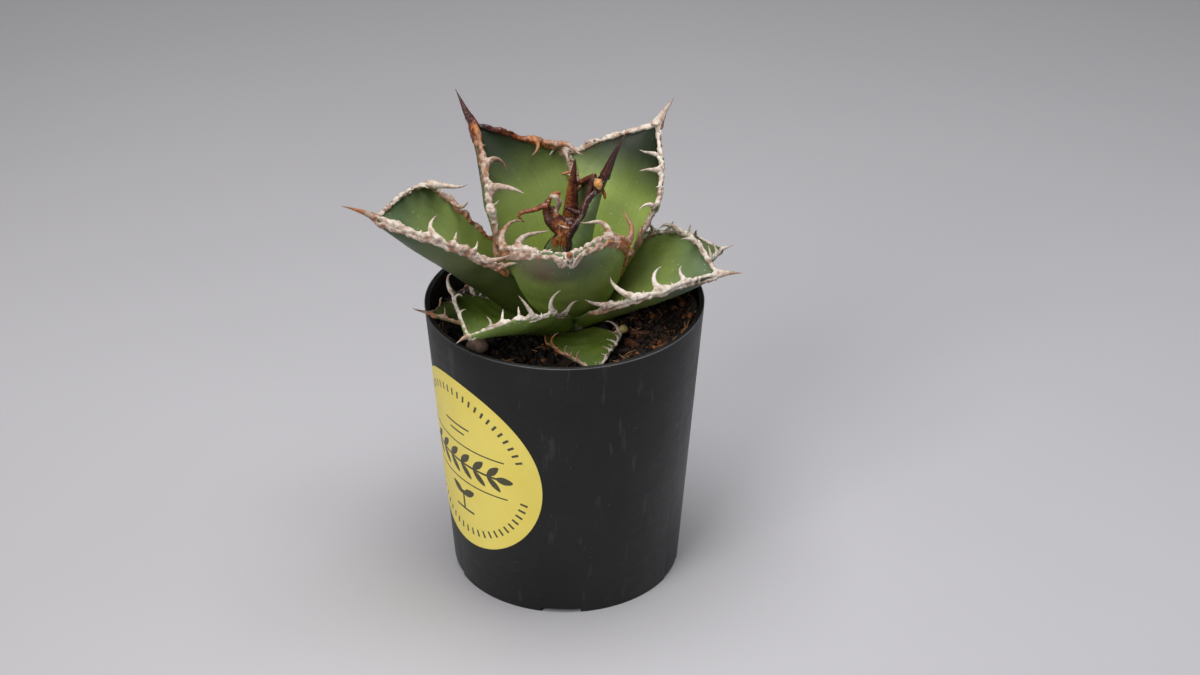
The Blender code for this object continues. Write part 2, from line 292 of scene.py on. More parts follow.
def specksOf(tree, vector, scale, size, share):
    return useGroup(tree, specks, Vector=vector, Scale=scale, Size=size, Share=share)["Mask"]


# Leaves: every length is in millimetres and every angle in degrees. A pair is for the foot and the tip
# of the leaf, or, in skew, band, hem, apron and bandStart, for its two margins. Margin 1 is the one
# towards growing azimuth and margin -1 the other, which comes first in a pair.
# azimuth, out and up place the foot, turn is how far the leaf swings sideways, rise is the slope of its
# midrib, and roll turns it about the midrib. widest and shoulder shape the outline, trough is half the
# angle of its hollow, skew scales its halves, and thick is its greatest thickness.
# spine is the end spine's length, lift and swing, spineWidth its radius at its foot, and spineTaper how
# fast it thins. age picks the colours and how deep the crust of the horn is.
# teeth are (margin, place, length, lean, sweep, end lean, end sweep). Lean 0 points straight out of the
# margin and 90 up from the upper face, sweep is towards the tip, and fine scales their thickness.
# warmth runs from 0, chalky white, to 1, dark red-brown, and past that to gold. It is given for the foot,
# middle and tip of margin -1 and then of margin 1, with its own values for the spine and the patch.
# band is the horny edge's half width and bandStart the place where it begins. hem and apron widen it, on
# the upper face and on the back. patch is the half width and length of the horn down the back of the tip.
# shade and underShade scale the brightness of the upper face and of the back, a painted light and shade for
# each leaf from foot to tip.
# stains are (across, along, half width, half length, strength), on the back.
# strokes are free horny ridges, each a warmth and a list of (x, y, z, radius).

leafPlans = {
    "leaf_left_low": dict(
        azimuth=199, turn=-1, out=12, up=104.8, rise=(11, 21), length=41, halfWidth=10, widest=0.6,
        shoulder=1.8, trough=(19, 29), roll=(0, 1), thick=3.0, spine=(8, 11, -4), spineWidth=0.7,
        age="old", warmth=((0.5, 0.3, 0.3), (0.4, 0.25, 0.3)), spineWarmth=(0.35, 0.3),
        band=(0.25, 0.25), fine=0.7,
        teeth=[(1, 0.92, 4, 40, 5, 80, 50), (1, 0.8, 3, 50, 0, 90, 20), (-1, 0.88, 4, 60, 35, 110, -10),
               (1, 0.68, 4, 50, 10, 90, 0), (-1, 0.7, 4, 60, 0, 100, 20)]),
    "leaf_back_right_low": dict(
        azimuth=72, turn=0, out=12, up=104.5, rise=(6, 10), length=30, halfWidth=12, widest=0.6,
        shoulder=1.8, trough=(15, 30), roll=(0, 0), thick=2.5, spine=(6, 10, 0), spineWidth=0.8,
        age="old", warmth=((0.2, 0.15, 0.2), (0.2, 0.15, 0.2)), spineWarmth=(0.25, 0.4),
        band=(0.4, 0.4), teeth=[]),
    "leaf_front_low": dict(
        azimuth=-74, turn=-4, out=12, up=105, rise=(10, -1), length=33, halfWidth=13.5, widest=0.42,
        shoulder=1.1, trough=(13, 31), roll=(0, -4), thick=2.5, spine=(4, 0, -10), spineWidth=0.6,
        age="old", warmth=((0.5, 0.4, 0.25), (0.3, 0.12, 0.12)), spineWarmth=(0.25, 0.3),
        band=(0.16, 0.18), fine=0.6,
        teeth=[(-1, 0.57, 8, 20, 0, 125, 25), (-1, 0.73, 5, 25, -5, 95, 25), (-1, 0.79, 3, 50, 0, 95, 10),
               (-1, 0.85, 4, 30, -5, 85, 20), (1, 0.36, 9, 80, 5, 160, 10), (1, 0.48, 4, 100, 5, 135, 15),
               (1, 0.58, 5, 115, 5, 135, 15), (1, 0.65, 3, 110, 5, 135, 15), (1, 0.72, 4, 110, 0, 130, 15),
               (1, 0.82, 3, 100, 0, 130, 10)]),
    "leaf_back_left_low": dict(
        azimuth=150, turn=0, out=12, up=105, rise=(8, 8), length=30, halfWidth=12, widest=0.6,
        shoulder=1.8, trough=(15, 30), roll=(0, 0), thick=2.5, spine=(6, 10, 0), spineWidth=0.8,
        age="old", warmth=((0.2, 0.15, 0.2), (0.2, 0.15, 0.2)), spineWarmth=(0.25, 0.4),
        band=(0.4, 0.4), teeth=[]),
    "leaf_right_rear": dict(
        azimuth=26, turn=-3, out=11, up=105.5, rise=(20, 9), length=56, halfWidth=21, widest=0.6,
        shoulder=1.8, trough=(31, 42), roll=(0, -2), thick=4.0, spine=(6, -7, -3), spineWidth=0.9,
        age="old", warmth=((0.1, 0.06, 0.08), (0.1, 0.06, 0.08)), spineWarmth=(0.1, 0.1),
        band=(0.5, 0.5),
        teeth=[(-1, 0.93, 5, 60, 0, 110, 0), (-1, 0.84, 6, 70, 10, 120, 20), (1, 0.9, 5, 60, 0, 110, 0),
               (1, 0.78, 7, 60, -10, 120, -20), (1, 0.62, 6, 50, -20, 110, -20),
               (1, 0.45, 7, 50, -10, 100, -30)]),
    "leaf_front_left": dict(
        azimuth=-130, turn=4, out=10, up=107, rise=(28, 9), length=47, halfWidth=21, widest=0.6,
        shoulder=1.8, trough=(22, 57), roll=(11, 2), thick=4.5, spine=(8, -11, 9), spineWidth=1.0,
        age="old", warmth=((0.1, 0.05, 0.1), (0.15, 0.05, 0.12)), spineWarmth=(0.2, 0.3),
        band=(0.5, 0.45), fine=0.85,
        shade=(1.8, 1.5), underShade=(1.8, 1.9),
        teeth=[(-1, 0.72, 11, 0, 25, 100, 15), (-1, 0.79, 6, 55, -10, 165, 25), (-1, 0.9, 4, 60, 0, 110, 0),
               (1, 0.72, 11, 55, 30, 75, 35), (1, 0.52, 13, 50, 60, 0, -35), (1, 0.35, 9, 25, 10, 0, -5),
               (1, 0.88, 7, 60, -30, 110, -60), (1, 0.93, 5, 30, 0, 85, 40),
               (1, 0.8, 6, 70, -20, 110, -50)]),
    "leaf_back": dict(
        azimuth=104, turn=0, out=10, up=107.5, rise=(18, 10), length=50, halfWidth=19, widest=0.6,
        shoulder=1.8, trough=(30, 42), roll=(0, 0), thick=4.0, spine=(10, 10, 0), spineWidth=1.4,
        age="old", warmth=((0.3, 0.1, 0.1), (0.3, 0.1, 0.1)), spineWarmth=(0.2, 0.5),
        band=(0.6, 0.6), patch=(3, 4), teeth=[]),
    "leaf_right": dict(
        azimuth=-11, turn=1, out=9, up=109.5, rise=(30, 15), length=52, halfWidth=26, widest=0.6,
        shoulder=1.7, trough=(36, 50), roll=(1, 3), thick=4.5, spine=(10, -10, -5), spineWidth=1.7,
        age="grown", warmth=((0.25, 0.05, 0.08), (0.3, 0.08, 0.08)), spineWarmth=(0.1, 0.3),
        band=(0.75, 0.7), patch=(4, 5), hem=(1.2, 0.5), apron=(0.8, 0), shade=(1.05, 1.3),
        underShade=(0.8, 0.8),
        teeth=[(-1, 0.72, 13, 80, -40, 145, 50), (-1, 0.85, 8, 65, -40, 140, 30),
               (-1, 0.55, 15, 40, -55, 135, -10), (-1, 0.37, 13, -10, -35, 30, -20),
               (1, 0.87, 9, 55, -30, 125, -35), (1, 0.8, 5, 40, 20, 60, 30),
               (1, 0.74, 12, 40, -35, 150, -20),
               (1, 0.65, 4, 40, 25, 65, 40), (1, 0.53, 7, 45, 10, 120, -40)]),
    "leaf_left": dict(
        azimuth=194, turn=0, out=11, up=109.5, rise=(40, 37), length=74, halfWidth=28, widest=0.66,
        shoulder=1.9, trough=(54, 58), roll=(11, -4), thick=5.0, spine=(15, -18, 6), spineWidth=1.6,
        age="grown", warmth=((0.5, 0.25, 0.12), (0.6, 0.18, 0.1)), spineWarmth=(0.25, 0.6),
        band=(0.75, 1.1), patch=(3, 5), hem=(0.4, 1.3), apron=(0, 1.0), shade=(1.15, 1.35),
        underShade=(0.3, 0.85), bandStart=(0.14, 0.4),
        teeth=[(-1, 0.9, 7, 35, -15, 85, -15), (-1, 0.82, 6, 60, -20, 110, -30),
               (-1, 0.75, 19, 95, 0, 60, -45), (-1, 0.6, 12, 135, -45, 50, 25),
               (1, 0.82, 12, 120, 35, 75, -45), (1, 0.74, 7, 80, 5, 110, -10), (1, 0.64, 5, 60, 0, 100, 0),
               (1, 0.58, 13, -40, -15, 40, -35), (1, 0.46, 8, 0, -25, 10, -35)]),
    "leaf_back_right": dict(
        azimuth=45, turn=-4, out=9, up=112.5, rise=(61, 51), length=68, halfWidth=26, widest=0.65,
        shoulder=1.25, trough=(40, 41), roll=(1, 2), thick=5.0, spine=(13, -6, -4), spineWidth=2.3,
        age="grown", warmth=((0.55, 0.1, 0.05), (0.45, 0.2, 0.08)), spineWarmth=(0.02, 0.2),
        band=(0.6, 0.75), patch=(4, 6), hem=(0.5, 0.8), shade=(1.5, 0.24),
        teeth=[(1, 0.65, 12, 20, 20, 95, -55), (1, 0.52, 10, 120, 50, 155, -15),
               (1, 0.78, 3, 60, 0, 120, 0),
               (-1, 0.86, 9, 65, -10, 75, 0), (-1, 0.79, 10, 65, -10, 65, -40),
               (-1, 0.6, 9, 65, 15, 35, -65), (-1, 0.38, 10, 10, 45, 40, 55)]),
    "leaf_front": dict(
        azimuth=-88, turn=4, out=8, up=112.5, rise=(48, 56), length=50, halfWidth=26, widest=0.55,
        shoulder=1.9, trough=(42, 70), roll=(1, 6), thick=5.5, spine=(4, -50, -10), spineWidth=1.9,
        age="grown", warmth=((0.6, 0.3, 0.12), (0.6, 0.4, 0.15)), spineWarmth=(0.15, 0.8), band=(1.05, 1.0),
        patch=(4.5, 5), apron=(1.9, 1.8), fine=0.85, underShade=(1.3, 1.6),
        stains=[(-0.45, 0.80, 0.38, 0.13, 1.0), (0.3, 0.95, 0.5, 0.1, 0.5)],
        teeth=[(-1, 0.5, 16, 15, -20, 75, 5), (-1, 0.68, 19, 20, -15, 120, 0),
               (-1, 0.8, 22, 25, -50, 130, 15), (1, 0.77, 17, 20, -10, 135, -15),
               (1, 0.56, 17, -5, -5, 70, -5), (1, 0.68, 4, 40, 0, 100, 0)]),
    "leaf_back_left": dict(
        azimuth=145, turn=5, out=6, up=114.5, rise=(63, 59), length=68, halfWidth=26, widest=0.6,
        shoulder=1.15, trough=(25, 57), roll=(-5, 4), thick=5.0, spine=(16, 2, 3), spineWidth=2.1,
        age="grown", warmth=((0.5, 0.12, 0.98), (0.66, 0.1, 0.48)), spineWarmth=(0.78, 0.97),
        band=(0.8, 1.05), patch=(4, 6), skew=(1.16, 1.0), hem=(0.6, 1.6), shade=(1.12, 0.36),
        teeth=[(1, 0.82, 14, 105, 15, 155, -85), (1, 0.7, 18, 30, 10, 50, -60),
               (1, 0.62, 5, 40, 10, 85, 20),
               (-1, 0.88, 3, 60, 0, 120, 0), (-1, 0.78, 10, 75, -45, 170, 0),
               (-1, 0.7, 16, 50, 0, 55, -55), (-1, 0.65, 8, 85, -45, 130, -40)]),
    "leaf_inner_right": dict(
        azimuth=-6, turn=3, out=5, up=115.5, rise=(88, 70), length=50, halfWidth=15, widest=0.5,
        shoulder=1.9, trough=(60, 59), roll=(0, 6), thick=3.5, spine=(20, -6, 0), spineWidth=1.9,
        age="young", warmth=((0.9, 0.9, 0.9), (0.85, 0.8, 0.8)), spineWarmth=(0.88, 1.0), band=(0.8, 0.5),
        patch=(3, 4), spineTaper=1.0, shade=(1.3, 1.3), underShade=(1.7, 1.5),
        teeth=[(1, 0.85, 10, 75, -5, 35, 30)],
        strokes=[
            (1.45, [(12.9, -4.4, 165.2, 1.2), (12.7, -4.9, 163.4, 1.75), (12.8, -4.8, 161.4, 1.5),
                    (13.4, -4.3, 159.6, 0.8)]),
            (0.6, [(14.0, -3.6, 161.2, 0.8), (14.9, -4.0, 158.6, 0.6), (15.2, -4.2, 156.8, 0.35)]),
            (0.88, [(11.2, -3.0, 165.0, 1.2), (10.1, -3.4, 162.2, 1.3), (9.3, -3.6, 159.0, 1.3),
                    (8.2, -3.8, 155.6, 1.4), (6.9, -4.0, 152.4, 1.5), (5.9, -4.2, 149.6, 1.5),
                    (5.8, -4.4, 146.8, 1.3)]),
            (0.92, [(6.2, -4.4, 150.6, 1.2), (4.0, -4.6, 151.8, 1.0), (1.8, -4.8, 153.0, 0.7),
                    (0.4, -5.0, 154.0, 0.4)]),
            (0.78, [(11.6, -1.0, 164.6, 1.1), (9.0, 0.6, 163.0, 0.9), (6.2, 1.6, 161.0, 0.75),
                    (4.4, 2.0, 159.0, 0.45)]),
            (0.5, [(5.6, 4.4, 162.0, 0.4), (2.4, 5.0, 163.2, 0.5), (-0.6, 5.2, 162.2, 0.55)])]),
    "leaf_inner_front": dict(
        azimuth=-98, turn=0, out=4, up=116, rise=(75, 88), length=29, halfWidth=9, widest=0.55,
        shoulder=1.9, trough=(60, 85), roll=(0, 0), thick=2.5, spine=(3, 20, 0), spineWidth=1.0,
        age="young", warmth=((0.85, 0.9, 0.85), (0.85, 0.8, 0.6)), spineWarmth=(0.6, 0.8), band=(0.7, 0.6),
        patch=(3.2, 7), patchWarmth=0.54, shade=(1.3, 1.3), underShade=(1.5, 1.5), teeth=[],
        strokes=[
            (0.9, [(-5.5, -6.2, 157.4, 1.0), (-6.2, -6.6, 153.4, 1.5), (-5.4, -7.0, 149.8, 1.8),
                   (-3.0, -7.4, 146.6, 1.9), (0.2, -7.6, 143.0, 1.8), (1.6, -7.6, 140.4, 1.2)]),
            (0.86, [(-4.4, -5.2, 154.0, 1.0), (-2.8, -5.4, 150.8, 1.3), (0.2, -5.6, 149.0, 1.3),
                    (3.2, -5.6, 148.8, 1.1), (5.4, -5.4, 147.6, 0.9)]),
            (0.95, [(-4.8, -6.0, 153.0, 1.5), (-2.4, -6.3, 149.6, 2.0), (0.6, -6.5, 147.4, 2.0),
                    (3.2, -6.2, 147.4, 1.5)]),
            (0.1, [(-4.0, -5.8, 159.0, 0.7), (-2.4, -6.2, 158.6, 1.2), (-1.7, -6.2, 155.8, 1.1),
                   (-2.6, -6.0, 152.6, 0.7)]),
            (0.62, [(-5.4, -6.2, 156.4, 0.9), (-4.6, -5.8, 158.6, 0.8), (-2.8, -5.4, 160.0, 0.7),
                    (-1.2, -5.2, 159.4, 0.6)]),
            (0.68, [(-6.0, -7.2, 155.4, 1.3), (-7.8, -7.4, 155.5, 1.15), (-9.9, -7.6, 154.4, 0.95),
                    (-12.6, -7.8, 153.9, 0.85), (-15.0, -8.0, 153.4, 0.75), (-16.4, -8.2, 152.0, 0.65),
                    (-15.6, -8.4, 150.6, 0.4), (-14.2, -8.4, 149.4, 0.2)]),
            (0.56, [(1.6, -8.4, 146.2, 2.0), (1.7, -8.6, 143.2, 1.7), (1.7, -8.4, 140.4, 1.0)]),
            (0.32, [(-2.2, -9.0, 149.0, 0.4), (0.7, -9.8, 147.8, 0.5), (3.0, -9.6, 147.6, 0.45),
                    (5.4, -8.8, 148.2, 0.5), (7.2, -7.6, 149.4, 0.4)])]),
    "leaf_bud": dict(
        azimuth=0, turn=0, out=0.2, up=116.5, rise=(89, 86), length=30, halfWidth=4.5, widest=0.35,
        shoulder=1.1, trough=(100, 140), roll=(0, 0), thick=1.6, spine=(25, -3, 0), spineWidth=2.7,
        age="young", warmth=((0.6, 0.55, 0.55), (0.6, 0.55, 0.55)), spineWarmth=(0.48, 0.56),
        band=(0.5, 0.5), patch=(3.5, 16), patchWarmth=0.52, spineTaper=0.72, teeth=[],
        # the dark stroke down the right side of the spine is partly its own dark red-brown and partly
        # painted shade on the side away from the light
        strokes=[(0.95, [(3.9, 0.2, 146.0, 1.2), (4.2, 0.2, 152.0, 1.2), (4.3, 0.1, 158.0, 0.9),
                         (4.2, 0.0, 163.0, 0.7), (4.0, -0.2, 167.0, 0.6), (4.0, -0.3, 171.0, 0.3)])]),
}
sharedPlan = dict(
    skew=(1.0, 1.0), hem=(0, 0), apron=(0, 0), bandStart=(0.14, 0.14), patch=(1.5, 2.5), fine=1.0,
    spineTaper=1.25, shade=(1.0, 1.0), underShade=(1.0, 1.0), stains=[], strokes=[])
for leafName, ownPlan in leafPlans.items():
    leafPlans[leafName] = {**sharedPlan, **ownPlan, "teeth": list(ownPlan["teeth"])}

footWidth = 0.62  # the blade's width at its foot, as a part of its full width
marginThick = 0.8  # the blade's thickness at its margins
stripGap = 0.8  # how far apart the strips of a hem or an apron lie
ribGap = 0.7  # the same for the ribs of the patch under the tip
hornLumps = {"lump": 0.0032, "broad": 0.010, "crisp": 0.0014}  # in metres, how far apart its lumps are
crustHeight = {"old": 0.16, "grown": 0.30, "young": 0.12}  # how far the ridges of the horn stand proud
ridgeSize, creaseSize = 0.0030, 0.0012  # in metres
hornVoxel = 0.26


def direction(rise, heading):
    rise, heading = math.radians(rise), math.radians(heading)
    return Vector((math.cos(rise) * math.cos(heading), math.cos(rise) * math.sin(heading), math.sin(rise)))


def midrib(plan, count):
    # count + 1 places: (part of the length, point, side, up, forward)
    fine = 6
    azimuth = math.radians(plan["azimuth"])
    spot = Vector((plan["out"] * math.cos(azimuth), plan["out"] * math.sin(azimuth), plan["up"])) * mm
    places = []
    for step in range(count * fine + 1):
        t = step / (count * fine)
        heading = plan["azimuth"] + plan["turn"] * t
        forward = direction(between(plan["rise"], t), heading)
        if step % fine == 0:
            level = Vector((-math.sin(math.radians(heading)), math.cos(math.radians(heading)), 0))
            side = Matrix.Rotation(math.radians(between(plan["roll"], t)), 3, forward) @ level
            places.append((t, spot.copy(), side, forward.cross(side), forward))
        spot += forward * plan["length"] * mm / (count * fine)
    return places


def bladeWidth(plan, t):
    if t < plan["widest"]:
        part = math.sin(math.pi / 2 * t / plan["widest"])
        return plan["halfWidth"] * mm * (footWidth + (1 - footWidth) * part)
    rest = (t - plan["widest"]) / (1 - plan["widest"])
    return plan["halfWidth"] * mm * ((1 - rest ** plan["shoulder"]) + 0.05 * rest)


def marginSwell(plan, margin, t):
    # the margin bulges out where a tooth stands on it, and hollows a little between teeth
    swell = -0.35 * mm
    for tooth in plan["teeth"]:
        away = (tooth[1] - t) * plan["length"] / (1.6 + 0.16 * tooth[2])
        if tooth[0] == margin:
            swell += (0.5 + 0.07 * tooth[2]) * mm * math.exp(-away * away)
    return swell * min(1.0, (1 - t) * 8)


def upperPoint(plan, place, u):
    # a point on the upper face: u runs from -1 to 1, margin to margin
    t, spot, side, up, forward = place
    margin = 1 if u > 0 else -1
    width = bladeWidth(plan, t) * plan["skew"][max(0, margin)]
    width += marginSwell(plan, margin, t) * abs(u) ** 3
    bend = math.radians(between(plan["trough"], t))
    across = width * math.sin(bend * u) / bend
    lift = width * (1 - math.cos(bend * u)) / bend
    point = spot + side * across + up * lift
    curl = wobble((t * 0.1, u * 0.02, plan["azimuth"] * mm), 0.012) * 0.5 * mm
    ripple = wobble((t * plan["length"] * mm, margin * 0.05, plan["azimuth"] * mm), 0.006) * 1.1 * mm
    return point + up * (curl * (1 - u * u) + ripple * abs(u) ** 4 * min(1.0, (1 - t) * 5))


def marginFrame(plan, place, margin):
    # the margin's point, the way out of the blade there, and the way up from its upper face
    t, spot, side, up, forward = place
    bend = math.radians(between(plan["trough"], t))
    out = side * margin * math.cos(bend) + up * math.sin(bend)
    over = up * math.cos(bend) - side * margin * math.sin(bend)
    return upperPoint(plan, place, margin), out, over


def bladeDepth(plan, t, u):
    # thickness under the upper face
    full = ramp([(0.0, plan["thick"] * 1.15), (0.35, plan["thick"]), (0.8, plan["thick"] * 0.62),
                 (1.0, plan["thick"] * 0.45)], t)
    return (marginThick + (full - marginThick) * (1 - u * u) ** 0.75) * mm


def stainAndShadeBlade(plan, blade, across, along):
    # stains are (across, along, half width, half length, strength), on the back of the leaf only
    amounts = [0.0] * len(blade.data.vertices)
    front = (across + 1) * (along + 1)
    for index in range(front, len(amounts)):
        column, row = (index - front) % (across + 1), (index - front) // (across + 1)
        u, t = -math.sin(math.pi * (column / across - 0.5)), row / along
        for centre, place, wide, long, strength in plan["stains"]:
            away = ((u - centre) / wide) ** 2 + ((t - place) / long) ** 2
            amounts[index] = max(amounts[index], strength * math.exp(-away))
    setPointValues(blade, "stain", amounts)
    # each face has its own painted light and shade: a brightness at the foot and at the tip
    shades = []
    for index in range(len(amounts)):
        row = (index % front) // (across + 1)
        foot, tip = plan["shade" if index < front else "underShade"]
        shades.append(ramp([(0.55, foot), (0.82, tip)], row / along))
    setPointValues(blade, "shade", shades)


def buildBlade(name, plan):
    across, along = ((44, 72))
    bpy.ops.mesh.primitive_grid_add(x_subdivisions=across, y_subdivisions=along, size=1, calc_uvs=True)
    blade = bpy.context.object
    blade.name = name + "_blade"
    blade.data.name = blade.name
    places = midrib(plan, along)
    deepest = plan["thick"] * 1.15 * mm
    depthGroup = blade.vertex_groups.new(name="depth")
    for corner in blade.data.vertices:
        u = -math.sin(math.pi * corner.co.x)
        place = places[round((corner.co.y + 0.5) * along)]
        depthGroup.add([corner.index], bladeDepth(plan, place[0], u) / deepest, "REPLACE")
        corner.co = upperPoint(plan, place, u)
    applyModifier(blade, "SOLIDIFY", thickness=deepest, offset=-1.0, vertex_group="depth",
                  thickness_vertex_group=0.0, use_even_offset=False, material_offset=1,
                  material_offset_rim=1)
    blade.vertex_groups.clear()
    stainAndShadeBlade(plan, blade, across, along)
    smoothShade(blade, 60)
    return blade


def toothPath(plan, places, tooth):
    # the centre line of a tooth: points and radii, thick where it leaves the margin, with a restless tip
    margin, start, length, lean, sweep, endLean, endSweep = tooth
    t, spot, out, over, forward = places[min(len(places) - 1, round(start * (len(places) - 1)))]
    steps = 10
    path = []
    base = (0.2 + 0.08 * length) * plan["fine"]
    for k in range(steps + 1):
        part = k / steps
        radius = base * (1 - part) ** 0.85 + 0.15
        path.append((spot.copy(), radius, part, t))
        restless = 40 * part * wobble(spot, 0.005, start * 9)
        a = math.radians(lean + (endLean - lean) * part + restless)
        b = math.radians(sweep + (endSweep - sweep) * part - restless)
        heading = (out * math.cos(a) + over * math.sin(a)) * math.cos(b) + forward * math.sin(b)
        spot = spot + heading * length * mm / steps
    return path


def flarePaths(plan, places, tooth, path):
    # low ribs from the margin up onto the tooth fill out its broad foot
    ribs = []
    reach = 0.9 + 0.11 * tooth[2]
    top = path[2]
    for way in (-1.0, -0.5, 0.5, 1.0):
        t = tooth[1] + way * reach / plan["length"]
        place = places[max(0, min(len(places) - 1, round(t * (len(places) - 1))))]
        middle = place[1].lerp(top[0], 0.5)
        thick = (0.2 + 0.042 * tooth[2]) * plan["fine"]
        ribs.append([(place[1], thick, 0.0, t), (middle, thick, 0.05, t), (top[0], thick, 0.15, t)])
    return ribs


def spinePath(plan, tip):
    length, lift, swing = plan["spine"]
    t, spot, side, up, forward = tip
    path = []
    steps = 12
    spot = spot - up * 0.5 * mm
    for k in range(steps + 1):
        part = k / steps
        radius = plan["spineWidth"] * (1 - part) ** plan["spineTaper"] + 0.17
        path.append((spot.copy(), radius, part, 1.0))
        way = direction(plan["rise"][1] + lift * part, plan["azimuth"] + plan["turn"] + swing * part)
        drift = side * wobble((part * 0.03, plan["azimuth"] * mm, 0), 0.012) * 0.25
        spot = spot + (way + drift) * length * mm / steps
    return path


def keelPaths(plan, places):
    # the horny patch under the tip: close ribs from the margin down the back, longest in the middle
    wide, long = plan["patch"]
    ribs = []
    count = int(wide / ribGap)
    fine = len(places) - 1
    for k in range(-count, count + 1):
        x = k * ribGap * mm
        top = next(t for t in range(fine, 0, -1) if bladeWidth(plan, t / fine) > abs(x) * 1.02)
        uneven = 0.85 + 0.3 * noise.noise((k * 0.7, plan["azimuth"], 0))
        reach = long * (1 - (k / (count + 1)) ** 2) * uneven
        rib = []
        for j in range(7):
            t = max(0.0, top / fine - reach / plan["length"] * j / 6)
            place = places[round(t * fine)]
            u = max(-0.98, min(0.98, x / bladeWidth(plan, place[0])))
            bend = math.radians(between(plan["trough"], place[0])) * u
            inward = place[3] * math.cos(bend) - place[2] * math.sin(bend)
            spot = upperPoint(plan, place, u) - inward * bladeDepth(plan, place[0], u) * 0.97
            rib.append((spot, 0.55 * (1 - 0.5 * j / 6), 0.3 * j / 6, place[0]))
        ribs.append(rib)
    return ribs


def insetPlace(width, margin, inset):
    # the place across the blade that lies that far in from the margin, all in millimetres
    return margin * max(0.0, 1 - inset / max(width, 1.0))


def bandPaths(plan, places, margin):
    # the horny band: a lumpy strand on the very edge, a thinner one on each face, then hem and apron
    edge, face, back = [], [], []
    index = 0 if margin < 0 else 1
    start = plan["bandStart"][index]
    hems = [[] for k in range(math.ceil(plan["hem"][index] / stripGap))]
    aprons = [[] for k in range(math.ceil(plan["apron"][index] / stripGap))]
    for place in places:
        t = place[0]
        if t < start:
            continue
        width = bladeWidth(plan, t) / mm
        rim, out, over = marginFrame(plan, place, margin)
        lump = wobble(rim, hornLumps["lump"], plan["azimuth"])
        broad = wobble(rim, hornLumps["broad"], plan["azimuth"] + 5)
        crisp = wobble(rim, hornLumps["crisp"], plan["azimuth"] + 9)
        size = plan["band"][index] * min(1.0, (t - start + 0.06) * 3.2)
        radius = size * (0.9 + 0.5 * lump + 0.5 * broad + 0.3 * crisp)
        shift = out * (lump * 0.35 + crisp * 0.15) + over * (broad * 0.3 - 0.35)
        edge.append((rim + shift * mm, max(0.2, radius), 0.0, t))
        u = insetPlace(width, margin, max(0.2, size * (1.2 + 1.1 * broad - 0.5 * lump)))
        front = upperPoint(plan, place, u) - over * (0.22 + 0.2 * size) * mm
        face.append((front, max(0.22, size * (0.72 + 0.5 * lump)), 0.0, t))
        u = insetPlace(width, margin, max(0.2, size * (1.3 - 1.0 * broad + 0.5 * crisp)))
        rear = upperPoint(plan, place, u) - over * bladeDepth(plan, t, u) + over * 0.25 * size * mm
        back.append((rear, max(0.2, size * (0.7 - 0.4 * lump)), 0.0, t))
        # wider crust further in: it sinks out of sight where the crust stops
        for strips, reach, onBack in ((hems, plan["hem"][index], 0), (aprons, plan["apron"][index], 1)):
            ragged = reach * min(1.0, (t - 0.1) * 2.5) * (1.0 + 0.6 * lump + 0.5 * broad)
            for k, strip in enumerate(strips):
                u = insetPlace(width, margin, size * 1.2 + stripGap * k)
                cover = min(1.0, max(0.0, ragged - stripGap * k + 0.4))
                depth = bladeDepth(plan, t, u) if onBack else 0.0
                sink = (0.75 - 0.75 * cover) * (-1 if onBack else 1) + (0.1 if onBack else -0.05)
                spot = upperPoint(plan, place, u) - over * (depth + sink * mm)
                strip.append((spot, 0.35 + 0.3 * cover + 0.15 * crisp, 0.0, t))
    return [("edge", edge), ("face", face), ("back", back)] + [("face", strip) for strip in hems + aprons]


def smoothPath(path):
    # puts two more points between each pair, on a smooth curve through them all
    fine = []
    for k in range(len(path) - 1):
        before, start, end, after = (path[max(0, min(len(path) - 1, k + j))] for j in (-1, 0, 1, 2))
        for j in range(3):
            f = j / 3
            spot = 0.5 * (2 * start[0] + (end[0] - before[0]) * f
                          + (2 * before[0] - 5 * start[0] + 4 * end[0] - after[0]) * f * f
                          + (3 * start[0] - before[0] - 3 * end[0] + after[0]) * f ** 3)
            fine.append((spot, *(between((a, b), f) for a, b in zip(start[1:], end[1:]))))
    return fine + [path[-1]]


def sweepTubes(name, paths):
    curve = bpy.data.curves.new(name, "CURVE")
    curve.dimensions = "3D"
    curve.bevel_depth = mm
    curve.bevel_resolution = 2
    curve.use_fill_caps = True
    for path in paths:
        spline = curve.splines.new("POLY")
        spline.points.add(len(path) - 1)
        for point, (spot, radius, part, t) in zip(spline.points, path):
            point.co = (*spot, 1.0)
            point.radius = radius
    tubes = bpy.data.objects.new(name, curve)
    bpy.context.scene.collection.objects.link(tubes)
    pick(tubes)
    bpy.ops.object.convert(target="MESH")
    return bpy.context.object


def fillTeeth(plan, seed):
    # each grown or old leaf gets small stubs along both margins, and one that has no teeth
    # of its own in the plan gets a row of larger ones too
    chance = random.Random(seed)
    stubRow, toothRow = (5.2, 10.0), (7.0, 30.0)  # each a spacing and a size in millimetres
    rows = []
    if plan["age"] != "young":
        rows = [stubRow] if plan["teeth"] else [stubRow, toothRow]
    for span, size in rows:
        for margin in (-1, 1):
            place = 0.14 + plan["bandStart"][max(0, margin)] + chance.uniform(0, 0.05)
            while place < 0.93:
                length = size * chance.uniform(0.06, 0.22)
                turns = [chance.uniform(*span) for span in ((0, 100), (-50, 50), (60, 140), (-50, 50))]
                plan["teeth"].append((margin, place, length, *turns))
                place += span * chance.uniform(0.6, 1.5) / plan["length"]


